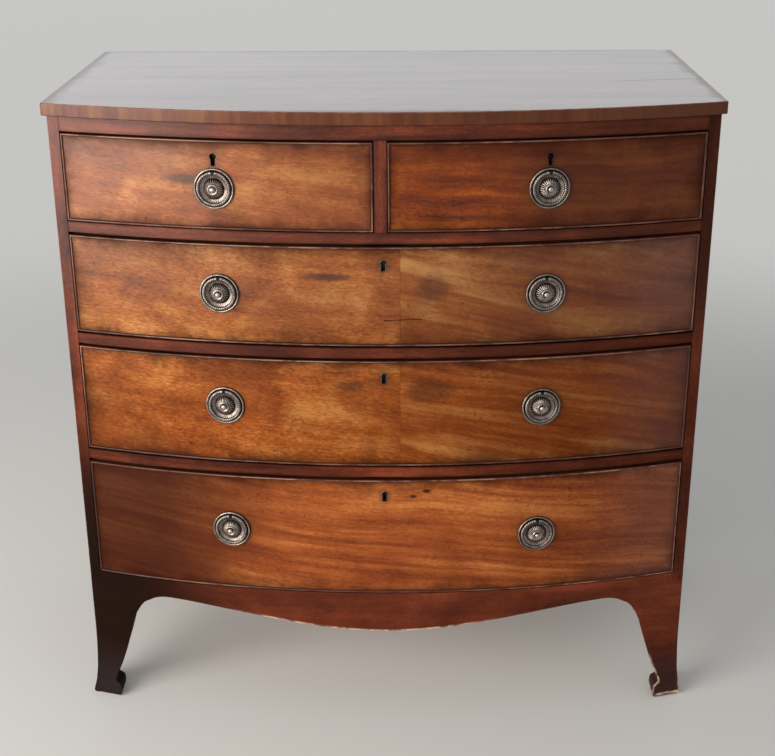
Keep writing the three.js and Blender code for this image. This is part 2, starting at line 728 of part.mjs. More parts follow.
addPiece('top_board', topBoard(), 'carcase');
addPiece('side_left', sideBoard(-1), 'carcase');
addPiece('side_right', sideBoard(1), 'carcase');
addPiece('back_panel', backPanel(), 'backing');
addPiece('top_rail', topRail(), 'carcase');
addPiece('centre_divider', centreDivider(), 'carcase');
addPiece('rail_upper', divisionRail('top', 0), 'carcase');
addPiece('rail_middle', divisionRail('upper', 0), 'carcase');
addPiece('rail_lower', divisionRail('middle', 0), 'carcase');
addPiece('bottom_board_apron', bottomBoard(), 'carcase');
addPiece('foot_front_left', frontFoot(-1), 'carcase');
addPiece('foot_front_right', frontFoot(1), 'carcase');
addPiece('foot_back_left', backFoot(-1), 'carcase');
addPiece('foot_back_right', backFoot(1), 'carcase');

function pullAt(rowName, side, name) {
  const row = rows[rowName];
  const middle = (row.floor + row.gapBelow + row.ceiling - row.gapAbove) / 2;
  return { name, x: pullPlace[side], z: middle + pullRise[rowName][side] };
}

const drawerEdge = openingHalf - frontSideGap;
const dividerReach = dividerWidth / 2 + frontSideGap;
addDrawer('drawer_short_left', 'top', -drawerEdge, dividerOffset - dividerReach, pullPlace.left,
  [pullAt('top', 'left', 'pull')]);
addDrawer('drawer_short_right', 'top', dividerOffset + dividerReach, drawerEdge, pullPlace.right,
  [pullAt('top', 'right', 'pull')]);
for (const rowName of ['upper', 'middle', 'bottom']) {
  addDrawer(`drawer_${rowName}`, rowName, -drawerEdge, drawerEdge, 0,
    [pullAt(rowName, 'left', 'left_pull'), pullAt(rowName, 'right', 'right_pull')]);
}

export default chest;
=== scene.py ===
"""Visual model of a bow front chest of drawers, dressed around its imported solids.

Every size is in metres, in the frame of the solids: +Z is up, the front faces -Y, and the origin lies on the
floor under the middle of the chest. A chest like this is made of a carcase, five drawers and eight ring pulls,
and each of them is a class here, with its sizes as fields and its making as methods.
"""
from __future__ import annotations

import logging
import math
from dataclasses import dataclass, replace
from enum import Enum
from functools import cache
from typing import Callable, Iterable, Sequence, Union

import bmesh
import bpy
from mathutils import Matrix, Vector


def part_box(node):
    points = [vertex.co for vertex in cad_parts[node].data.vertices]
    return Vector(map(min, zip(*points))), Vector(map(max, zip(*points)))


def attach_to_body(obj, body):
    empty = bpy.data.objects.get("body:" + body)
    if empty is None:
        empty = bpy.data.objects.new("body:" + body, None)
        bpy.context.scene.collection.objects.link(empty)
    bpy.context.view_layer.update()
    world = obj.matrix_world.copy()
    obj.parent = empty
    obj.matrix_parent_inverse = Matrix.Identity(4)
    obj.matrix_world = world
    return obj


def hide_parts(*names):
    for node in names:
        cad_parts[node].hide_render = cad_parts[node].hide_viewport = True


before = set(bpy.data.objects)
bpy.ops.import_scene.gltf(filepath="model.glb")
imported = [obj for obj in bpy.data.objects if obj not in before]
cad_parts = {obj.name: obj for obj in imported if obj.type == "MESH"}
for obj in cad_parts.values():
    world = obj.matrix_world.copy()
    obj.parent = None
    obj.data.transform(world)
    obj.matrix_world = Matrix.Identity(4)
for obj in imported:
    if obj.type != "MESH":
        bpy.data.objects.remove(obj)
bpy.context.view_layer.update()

logging.basicConfig(level=logging.INFO, format="%(message)s")
log = logging.getLogger("chest")

Colour = tuple[float, float, float, float]
Point = tuple[float, float, float]
Pair = tuple[float, float]
Rows = list[Pair]
Socket = bpy.types.NodeSocket
Value = Union[Socket, float, Sequence[float], None]
Object = bpy.types.Object
Material = bpy.types.Material

CARCASE = "carcase"
BACK_BOARDS = 6
LEFT_PULL, RIGHT_PULL = -0.248, 0.244
FRONT_THICKNESS = 0.022
SHARP = 35.0
FULL_TURN = 2 * math.pi


def colour(code: str) -> Colour:
    """Turns a display colour into the linear one that a shader takes.

    Args:
        code: Six hexadecimal digits, as on a colour chart.

    Returns:
        Red, green, blue and full opacity.
    """
    def linear(value: float) -> float:
        """Undoes a display's gamma for one channel."""
        return value / 12.92 if value <= 0.04045 else ((value + 0.055) / 1.055) ** 2.4

    red, green, blue = (int(code[i:i + 2], 16) / 255 for i in (0, 2, 4))
    return linear(red), linear(green), linear(blue), 1.0


def colours(*codes: str) -> list[Colour]:
    """Turns several display colours into linear ones."""
    return [colour(code) for code in codes]


# Shapes


@dataclass(frozen=True)
class Bow:
    """The curve of the chest's front, seen from above."""

    half_width: float = 0.5
    rise: float = 0.076
    ends_y: float = -0.197

    @property
    def radius(self) -> float:
        """Radius of the arc that rises so much over half the width."""
        return (self.half_width ** 2 + self.rise ** 2) / (2 * self.rise)

    def y(self, x: float, out: float = 0.0) -> float:
        """Depth of the face at a place across the front, moved outwards by an offset."""
        radius = self.radius + out
        return self.ends_y + self.radius - self.rise - math.sqrt(radius ** 2 - x ** 2)

    def point(self, x: float, z: float, out: float = 0.0) -> Vector:
        """A point of the face, at a place across and a height, moved outwards by an offset."""
        return Vector((x, self.y(x, out), z))

    def seat(self, x: float, z: float) -> Matrix:
        """Where a fitting sits square to the bow: local x along the face, local y inwards."""
        return Matrix.Translation(self.point(x, z)) @ Matrix.Rotation(math.asin(x / self.radius), 4, "Z")


BOW = Bow()


def spread(low: float, high: float, steps: int) -> list[float]:
    """Evenly spaced values from low to high, both included."""
    return [low + (high - low) * index / steps for index in range(steps + 1)]


def between(rows: Sequence[Pair], place: float) -> float:
    """Reads a value off a table.

    Args:
        rows: Places and values, in rising order of place.
        place: Where to read.

    Returns:
        The value there, or the nearest end's value beyond the table.
    """
    if place <= rows[0][0]:
        return rows[0][1]
    for (start, low), (end, high) in zip(rows, rows[1:]):
        if place <= end:
            return low + (high - low) * (place - start) / max(end - start, 1e-9)
    return rows[-1][1]


def smooth_through(shares: Sequence[tuple[float, ...]], per_span: int) -> list[tuple[float, ...]]:
    """Runs a smooth curve through rows of values.

    Args:
        shares: Rows of values, each as long as the others.
        per_span: How many steps go between two rows.

    Returns:
        More rows, on a curve that passes through every given one.
    """
    rows: list[tuple[float, ...]] = []
    last = len(shares) - 1
    for index in range(last):
        four = (shares[max(index - 1, 0)], shares[index], shares[index + 1], shares[min(index + 2, last)])
        for step in range(per_span):
            t = step / per_span
            rows.append(tuple(
                0.5 * (2 * b + (c - a) * t + (2 * a - 5 * b + 4 * c - d) * t * t + (3 * b - a - 3 * c + d) * t ** 3)
                for a, b, c, d in zip(*four)))
    rows.append(shares[-1])
    return rows


def bezier(ends: Sequence[Sequence[float]], steps: int) -> Rows:
    """Points on the cubic curve of four control points, the first and the last one included."""
    a, b, c, d = ends
    return [tuple((1 - t) ** 3 * p + 3 * (1 - t) ** 2 * t * q + 3 * (1 - t) * t * t * r + t ** 3 * u
                  for p, q, r, u in zip(a, b, c, d)) for t in spread(0.0, 1.0, steps)]


class Form:
    """One mesh under construction."""

    def __init__(self) -> None:
        """Starts with nothing."""
        self.mesh = bmesh.new()

    def loft(self, rings: Sequence[Sequence[Vector]], meets_itself: bool = False, caps: bool = True) -> None:
        """Draws a closed ring of points out through the places of the next ones.

        Args:
            rings: Rings with the same number of points each.
            meets_itself: Whether the last ring joins the first.
            caps: Whether the first and the last ring are filled.
        """
        first = verts = [self.mesh.verts.new(point) for point in rings[0]]
        edges = [self.mesh.edges.new(pair) for pair in zip(verts, verts[1:] + verts[:1])]
        if caps and not meets_itself:
            self.mesh.faces.new(verts[::-1])
        for ring in rings[1:]:
            verts, edges = self.draw_out(verts, edges, ring)
        if meets_itself:
            verts, _ = self.draw_out(verts, edges, rings[0])
            bmesh.ops.weld_verts(self.mesh, targetmap=dict(zip(verts, first)))
        elif caps:
            self.mesh.faces.new(verts)

    def draw_out(self, verts: Sequence[bmesh.types.BMVert], edges: Sequence[bmesh.types.BMEdge],
                 places: Sequence[Vector]) -> tuple[list[bmesh.types.BMVert], list[bmesh.types.BMEdge]]:
        """Extrudes a closed run of edges and moves the new run.

        Args:
            verts: Points of the run, in order.
            edges: Edges of the run.
            places: Where the new points go, in the same order.

        Returns:
            The new run's points, in order, and its edges.
        """
        made = set(bmesh.ops.extrude_edge_only(self.mesh, edges=edges)["geom"])
        fresh = [next(other for other in (edge.other_vert(vert) for edge in vert.link_edges) if other in made)
                 for vert in verts]
        for vert, place in zip(fresh, places):
            vert.co = place
        return fresh, [self.mesh.edges.get(pair) for pair in zip(fresh, fresh[1:] + fresh[:1])]

    def sleeve(self, rings: Sequence[tuple[Sequence[Vector], Sequence[Vector]]]) -> None:
        """Lofts a frame and bridges its two ends.

        Args:
            rings: Rings that each have a lower and an upper run of points.
        """
        loops = [[*low, *high[::-1]] for low, high in rings]
        begun = len(self.mesh.verts)
        self.loft(loops, caps=False)
        self.mesh.verts.ensure_lookup_table()
        count, size = len(rings[0][0]), len(loops[0])
        for start in (begun, begun + size * (len(loops) - 1)):
            loop = self.mesh.verts[start:start + size]
            low, high = loop[:count], loop[count:]
            runs = [self.mesh.edges.get(pair) for run in (low, high) for pair in zip(run, run[1:])]
            bmesh.ops.bridge_loops(self.mesh, edges=runs)

    def prism(self, outline: Sequence[Vector], travel: Vector) -> None:
        """Extrudes a flat outline along a straight line.

        Args:
            outline: The corners of the flat face.
            travel: How far and which way it goes.
        """
        face = self.mesh.faces.new([self.mesh.verts.new(point) for point in outline])
        made = bmesh.ops.extrude_face_region(self.mesh, geom=[face])["geom"]
        bmesh.ops.translate(self.mesh, vec=travel, verts=[g for g in made if isinstance(g, bmesh.types.BMVert)])

    def block(self, low: Point, high: Point) -> None:
        """Adds a squared piece of stock between its lowest and its highest corner."""
        corners = ((low[0], low[1]), (high[0], low[1]), (high[0], high[1]), (low[0], high[1]))
        self.prism([Vector((x, y, low[2])) for x, y in corners], Vector((0, 0, high[2] - low[2])))

    def bowed_board(self, across: Pair, heights: Pair, out: float, back_y: float,
                    columns: int = 96) -> None:
        """Adds a board with a bowed front edge and a straight back edge.

        Args:
            across: Its left and right end.
            heights: Its underside and its upper side.
            out: How far its front edge stands out of the bow.
            back_y: Where its back edge lies.
            columns: How many facets its front edge has.
        """
        (x0, x1), (z0, z1) = across, heights
        outline = [BOW.point(x, z0, out) for x in spread(x0, x1, columns)]
        outline += [Vector((x1, back_y, z0)), Vector((x0, back_y, z0))]
        self.prism(outline, Vector((0, 0, z1 - z0)))

    def turned(self, profile: Sequence[Pair], steps: int) -> None:
        """Spins a profile round the local inward axis.

        Args:
            profile: Radius and height outwards of each of its points.
            steps: How many facets go round.
        """
        verts = [self.mesh.verts.new((radius, -height, 0)) for radius, height in profile]
        edges = [self.mesh.edges.new(pair) for pair in zip(verts, verts[1:])]
        bmesh.ops.spin(self.mesh, geom=verts + edges, axis=(0, 1, 0), cent=(0, 0, 0), angle=FULL_TURN,
                       steps=steps, use_merge=True)
        bmesh.ops.remove_doubles(self.mesh, verts=self.mesh.verts, dist=1e-7)

    def soften(self, width: float, segments: int = 2, angle: float = 40.0,
               chosen: Callable[[bmesh.types.BMEdge], bool] = lambda edge: True) -> None:
        """Rounds the edges that turn more than an angle.

        Args:
            width: How wide the rounding is.
            segments: How many facets it has.
            angle: The least turn of an edge that is rounded, in degrees.
            chosen: Says which edges may be rounded.
        """
        self.mesh.normal_update()
        limit = math.radians(angle)
        edges = [edge for edge in self.mesh.edges if len(edge.link_faces) == 2
                 and edge.calc_face_angle(0) > limit and chosen(edge)]
        bmesh.ops.bevel(self.mesh, geom=edges, offset=width, segments=segments, affect="EDGES",
                        profile=0.5, clamp_overlap=True, material=-1)

    def move(self, matrix: Matrix) -> None:
        """Moves and turns the whole form."""
        bmesh.ops.transform(self.mesh, matrix=matrix, verts=self.mesh.verts)

    def take_in(self, part: "Form") -> None:
        """Adds another form's faces and ends that form.

        Args:
            part: The form that is used up.
        """
        spare = bpy.data.meshes.new("part")
        part.mesh.to_mesh(spare)
        part.mesh.free()
        self.mesh.from_mesh(spare)
        bpy.data.meshes.remove(spare)

    def to_object(self, name: str, material: Material | None, sharp: float = SHARP) -> Object:
        """Closes the work and puts it in the scene.

        Args:
            name: Name of the new object.
            material: What it is finished with.
            sharp: Edges that turn more than this many degrees are shaded sharp.

        Returns:
            The new object, at the origin and unturned.
        """
        bmesh.ops.recalc_face_normals(self.mesh, faces=self.mesh.faces)
        data = bpy.data.meshes.new(name)
        self.mesh.to_mesh(data)
        self.mesh.free()
        shade_smooth(data, sharp)
        if material is not None:
            data.materials.append(material)
        made = bpy.data.objects.new(name, data)
        bpy.context.scene.collection.objects.link(made)
        return made


def shade_smooth(data: bpy.types.Mesh, sharp: float = SHARP) -> None:
    """Shades a mesh smooth, apart from its sharp edges.

    Args:
        data: The mesh.
        sharp: Edges that turn more than this many degrees stay sharp.
    """
    for polygon in data.polygons:
        polygon.use_smooth = True
    data.set_sharp_from_angle(angle=math.radians(sharp))


def shade_evenly(piece: Object) -> None:
    """Weights a piece's normals by the size of its faces, so that its flat faces look flat."""
    weights = piece.modifiers.new("even shading", "WEIGHTED_NORMAL")
    weights.keep_sharp = True


def show(form: Form, name: str, material: Material, replaces: Iterable[str] = (), body: str = CARCASE,
         sharp: float = SHARP, flatten: bool = True) -> Object:
    """Makes a piece, puts it on the body that carries it and hides the solids that it stands for.

    Args:
        form: Its shape.
        name: Its name.
        material: What it is finished with.
        replaces: The solids that it stands for.
        body: The body that carries it.
        sharp: Edges that turn more than this many degrees are shaded sharp.
        flatten: Whether its flat faces are shaded flat.

    Returns:
        The piece.
    """
    piece = form.to_object(name, material, sharp)
    if flatten:
        shade_evenly(piece)
    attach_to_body(piece, body)
    names = list(replaces)
    if names:
        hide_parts(*names)
    log.info("made %s", name)
    return piece


def cut(piece: Object, *tools: Form) -> None:
    """Cuts forms out of a piece for good, and shades what is left evenly.

    Args:
        piece: The piece that is cut.
        tools: The forms, which are used up.
    """
    piece.modifiers.clear()
    for tool in tools:
        cutter = tool.to_object("cutter", None)
        modifier = piece.modifiers.new("cut", "BOOLEAN")
        modifier.operation = "DIFFERENCE"
        modifier.solver = "EXACT"
        modifier.object = cutter
        graph = bpy.context.evaluated_depsgraph_get()
        solid = bpy.data.meshes.new_from_object(piece.evaluated_get(graph))
        piece.modifiers.clear()
        old, spare = piece.data, cutter.data
        piece.data = solid
        bpy.data.objects.remove(cutter)
        for data in (old, spare):
            bpy.data.meshes.remove(data)
        shade_smooth(solid)
    shade_evenly(piece)


def attach(piece: Object, part: Form) -> None:
    """Adds a form's faces to a piece that is already cut.

    Args:
        piece: The piece.
        part: The form, which is used up.
    """
    whole = Form()
    whole.mesh.from_mesh(piece.data)
    whole.take_in(part)
    bmesh.ops.recalc_face_normals(whole.mesh, faces=whole.mesh.faces)
    whole.mesh.to_mesh(piece.data)
    whole.mesh.free()
    shade_smooth(piece.data)


def paint(piece: Object, name: str, values: Iterable[float]) -> None:
    """Writes one value for each point of a piece, for its material to read.

    Args:
        piece: The piece.
        name: Name of the attribute.
        values: The values, in the order of the piece's points.
    """
    layer = piece.data.attributes.new(name, "FLOAT", "POINT")
    for item, value in zip(layer.data, values):
        item.value = value


# Shading


class Tree:
    """Short calls for writing a node tree. A value is a socket to link, or a number or colour to set."""

    def __init__(self, tree: bpy.types.NodeTree) -> None:
        """Takes the tree that is written."""
        self.tree = tree

    def add(self, kind: str, **settings: object) -> bpy.types.Node:
        """Adds a node.

        Args:
            kind: The node's type.
            settings: Its properties by name.

        Returns:
            The node.
        """
        node = self.tree.nodes.new(kind)
        for key, value in settings.items():
            setattr(node, key, value)
        return node

    def feed(self, socket: Socket, value: Value) -> None:
        """Links a socket to an input, or sets the input.

        Args:
            socket: The input.
            value: What it gets. None leaves it as it is.
        """
        if isinstance(value, Socket):
            self.tree.links.new(value, socket)
        elif value is not None:
            socket.default_value = value

    def fed(self, node: bpy.types.Node, values: dict[int | str, Value]) -> bpy.types.Node:
        """Feeds a node's inputs.

        Args:
            node: The node.
            values: What each input gets, by its place or its name.

        Returns:
            The same node.
        """
        for key, value in values.items():
            self.feed(node.inputs[key], value)
        return node

    def math(self, operation: str, *values: Value, clamp: bool = False) -> Socket:
        """Works out a number from others, and may keep it between 0 and 1."""
        node = self.add("ShaderNodeMath", operation=operation, use_clamp=clamp)
        return self.fed(node, dict(enumerate(values))).outputs[0]

    def vector(self, operation: str, *values: Value) -> Socket:
        """Works out a vector from others, or their measure."""
        node = self.fed(self.add("ShaderNodeVectorMath", operation=operation), dict(enumerate(values)))
        return node.outputs["Value" if operation in ("LENGTH", "DISTANCE", "DOT_PRODUCT") else "Vector"]

    def centred(self, value: Value) -> Socket:
        """A value about 0 instead of 0.5."""
        return self.math("SUBTRACT", value, 0.5)

    def blend(self, factor: Value, low: Value, high: Value) -> Socket:
        """Mixes two colours by a factor."""
        node = self.add("ShaderNodeMix", data_type="RGBA", blend_type="MIX", clamp_factor=True)
        return self.fed(node, {0: factor, 6: low, 7: high}).outputs[2]

    def between(self, factor: Value, low: Value, high: Value) -> Socket:
        """Mixes two numbers by a factor."""
        node = self.add("ShaderNodeMix", data_type="FLOAT", clamp_factor=True)
        return self.fed(node, {0: factor, 2: low, 3: high}).outputs[0]

    def noise(self, vector: Value, scale: float | Point, detail: float = 2.0, roughness: float = 0.5,
              distortion: float = 0.0) -> Socket:
        """Adds a cloudy pattern.

        Args:
            vector: Where it is read.
            scale: How fine it is, or how fine along each axis.
            detail: How many finer layers it has.
            roughness: How strong they are.
            distortion: How far it is stirred.

        Returns:
            A value from 0 to 1.
        """
        if isinstance(scale, tuple):
            vector, scale = self.vector("MULTIPLY", vector, scale), 1.0
        return self.fed(self.add("ShaderNodeTexNoise"), {
            "Vector": vector, "Scale": scale, "Detail": detail, "Roughness": roughness,
            "Distortion": distortion}).outputs["Fac"]

    def ramp(self, factor: Value, low: Value, high: Value, to_low: Value = 0.0, to_high: Value = 1.0) -> Socket:
        """Turns the range of a value from low to high smoothly into that from to_low to to_high."""
        node = self.add("ShaderNodeMapRange", interpolation_type="SMOOTHSTEP", clamp=True)
        return self.fed(node, dict(enumerate((factor, low, high, to_low, to_high)))).outputs[0]

    def fade(self, factor: Value, low: Value, high: Value) -> Socket:
        """White up to one value, and black from another on."""
        return self.ramp(factor, low, high, 1.0, 0.0)

    def colours(self, factor: Value, stops: Sequence[tuple[float, Colour]]) -> Socket:
        """Turns a value into a colour.

        Args:
            factor: The value.
            stops: Places from 0 to 1 and the colours there.

        Returns:
            The colour.
        """
        node = self.add("ShaderNodeValToRGB")
        elements = node.color_ramp.elements
        while len(elements) < len(stops):
            elements.new(0.5)
        for element, (place, shade) in zip(elements, stops):
            element.position = place
            element.color = shade
        return self.fed(node, {0: factor}).outputs[0]

    def split(self, vector: Value) -> tuple[Socket, Socket, Socket]:
        """A vector's three parts."""
        outputs = self.fed(self.add("ShaderNodeSeparateXYZ"), {0: vector}).outputs
        return outputs[0], outputs[1], outputs[2]

    def join(self, x: Value, y: Value, z: Value) -> Socket:
        """A vector made of three numbers."""
        return self.fed(self.add("ShaderNodeCombineXYZ"), {0: x, 1: y, 2: z}).outputs[0]

    def group(self, tree: bpy.types.NodeTree, **values: Value) -> bpy.types.NodeOutputs:
        """Places a shared effect, and gives its inputs their values by name."""
        return self.fed(self.add("ShaderNodeGroup", node_tree=tree), values).outputs

    def attribute(self, name: str) -> Socket:
        """A value that is painted on the piece."""
        return self.add("ShaderNodeAttribute", attribute_name=name).outputs["Fac"]

    def object_place(self) -> Socket:
        """The place on the object, in metres."""
        return self.add("ShaderNodeTexCoord").outputs["Object"]


class Effects:
    """Node groups that several finishes share. Each is built once."""

    @staticmethod
    def start(name: str, inputs: dict[str, float | Point], outputs: Sequence[str]) -> tuple[
            Tree, bpy.types.NodeOutputs, bpy.types.NodeInputs]:
        """Starts a node group.

        Args:
            name: Its name.
            inputs: The names of its inputs and what they start as.
            outputs: The names of its outputs.

        Returns:
            The tree to write, the values that are given to it and the results that it feeds.
        """
        tree = bpy.data.node_groups.new(name, "ShaderNodeTree")
        for label, value in inputs.items():
            kind = "NodeSocketVector" if isinstance(value, tuple) else "NodeSocketFloat"
            tree.interface.new_socket(name=label, in_out="INPUT", socket_type=kind).default_value = value
        for label in outputs:
            tree.interface.new_socket(name=label, in_out="OUTPUT", socket_type="NodeSocketFloat")
        work = Tree(tree)
        given = work.add("NodeGroupInput")
        return work, given.outputs, work.add("NodeGroupOutput").inputs

    @staticmethod
    @cache
    def grain() -> bpy.types.NodeTree:
        """Makes wood figure. The vector's x runs along the grain and its y across it.

        Returns:
            The group, which puts out the wood's tone and its pores.
        """
        work, given, result = Effects.start("grain", {
            "Vector": (0.0, 0.0, 0.0), "Sway": 0.03, "Band": 1.0, "Streak": 1.0, "Mottle": 0.5, "Fleck": 0.2},
            ("Tone", "Pores"))
        place = given["Vector"]
        along, across, deep = work.split(place)
        drift = work.noise(place, (1.7, 3.4, 1.7))
        swayed = work.math("MULTIPLY_ADD", work.centred(drift), given["Sway"], across)
        ripple = work.noise(place, (9.0, 14.0, 9.0))
        lay = work.join(along, work.math("MULTIPLY_ADD", work.centred(ripple), 0.006, swayed), deep)
        layers = (
            (work.noise(lay, (3.6, 26.0, 3.0), 3.0, 0.55), given["Band"]),
            (work.noise(lay, (4.5, 95.0, 12.0)), given["Streak"]),
            (work.noise(lay, (26.0, 420.0, 60.0), 2.0, 0.6), 0.2),
            (work.noise(lay, (120.0, 360.0, 120.0), 2.0, 0.6), given["Fleck"]),
            (work.noise(place, (8.0, 12.0, 8.0), 5.0, 0.58, 0.9), given["Mottle"]))
        total, *others = [work.math("MULTIPLY", work.centred(layer), weight) for layer, weight in layers]
        for other in others:
            total = work.math("ADD", total, other)
        work.feed(result["Tone"], work.math("ADD", total, 0.5, clamp=True))
        specks = work.noise(lay, (150.0, 900.0, 150.0), 1.0)
        work.feed(result["Pores"], work.ramp(specks, 0.64, 0.76))
        return work.tree

    @staticmethod
    @cache
    def grime() -> bpy.types.NodeTree:
        """Makes the dirt and old polish that gather inside the edges of a panel.

        Returns:
            The group, which puts out a mask.
        """
        work, given, result = Effects.start("grime", {
            "Vector": (0.0, 0.0, 0.0), "Low": (-1.0, -1.0, -1.0), "High": (1.0, 1.0, 1.0), "Reach": 0.02}, ("Grime",))
        x, y, _ = work.split(work.vector("MINIMUM", work.vector("SUBTRACT", given["Vector"], given["Low"]),
                                         work.vector("SUBTRACT", given["High"], given["Vector"])))
        cloud = work.noise(given["Vector"], 17.0, 3.0, 0.6)
        uneven = work.math("MULTIPLY", given["Reach"], work.ramp(cloud, 0.3, 0.75, 0.35, 1.75))
        share = work.math("DIVIDE", work.math("MINIMUM", x, y), uneven)
        work.feed(result["Grime"], work.math("POWER", work.math("SUBTRACT", 1.0, share, clamp=True), 1.6))
        return work.tree

    @staticmethod
    @cache
    def line() -> bpy.types.NodeTree:
        """Makes a thin line between two points, such as a crack or a joint.

        Returns:
            The group, which puts out a mask.
        """
        work, given, result = Effects.start("line", {
            "Vector": (0.0, 0.0, 0.0), "From": (0.0, 0.0, 0.0), "To": (1.0, 0.0, 0.0), "Width": 0.001}, ("Line",))
        span = work.vector("SUBTRACT", given["To"], given["From"])
        offset = work.vector("SUBTRACT", given["Vector"], given["From"])
        share = work.math("DIVIDE", work.vector("DOT_PRODUCT", offset, span),
                          work.vector("DOT_PRODUCT", span, span), clamp=True)
        scaled = work.fed(work.add("ShaderNodeVectorMath", operation="SCALE"), {0: span, "Scale": share})
        gap = work.vector("DISTANCE", offset, scaled.outputs[0])
        work.feed(result["Line"], work.fade(gap, work.math("MULTIPLY", given["Width"], 0.3), given["Width"]))
        return work.tree

    @staticmethod
    @cache
    def spot() -> bpy.types.NodeTree:
        """Makes a soft uneven stain round a point.

        Returns:
            The group, which puts out a mask.
        """
        work, given, result = Effects.start("spot", {
            "Vector": (0.0, 0.0, 0.0), "Middle": (0.0, 0.0, 0.0), "Size": (1.0, 1.0, 1.0), "Rough": 0.6}, ("Spot",))
        offset = work.vector("SUBTRACT", given["Vector"], given["Middle"])
        reach = work.vector("LENGTH", work.vector("DIVIDE", offset, given["Size"]))
        cloud = work.noise(given["Vector"], 90.0, 3.0, 0.65)
        ragged = work.math("MULTIPLY_ADD", work.centred(cloud), given["Rough"], reach)
        work.feed(result["Spot"], work.fade(ragged, 0.35, 1.0))
        return work.tree


@dataclass(frozen=True)
class WoodFinish:
    """How one kind of wood looks."""

    dark: Colour
    middle: Colour
    light: Colour
    pore: Colour
    roughness: float = 0.44
    rubbed: float = 0.06
    coat: float = 0.0
    coat_roughness: float = 0.35
    specular: float = 0.04
    polish_low: float = 1.0
    polish_heights: Pair = (0.52, 0.86)
    sway: float = 0.03
    band: float = 1.1
    streak: float = 0.9
    mottle: float = 0.5
    fleck: float = 0.2
    pore_depth: float = 0.5
    patina: float = 0.45
    wave: float = 0.25


@dataclass(frozen=True)
class Stain:
    """A dark place in a veneer, at a place along and across its grain."""

    along: float
    across: float
    long: float
    wide: float
    depth: float = 0.7


@dataclass(frozen=True)
class Crack:
    """A thin dark line in a surface."""

    start: Pair
    end: Pair
    width: float = 0.0012
    depth: float = 0.75


class Lay(Enum):
    """Which way the grain runs: the axes of an object that lie along, across and through it."""

    FRONT = (0, 2, 1)
    TOP = (0, 1, 2)
    UPRIGHT = (2, 1, 0)
    STILE = (2, 0, 1)
    DEEP_SIDE = (1, 2, 0)


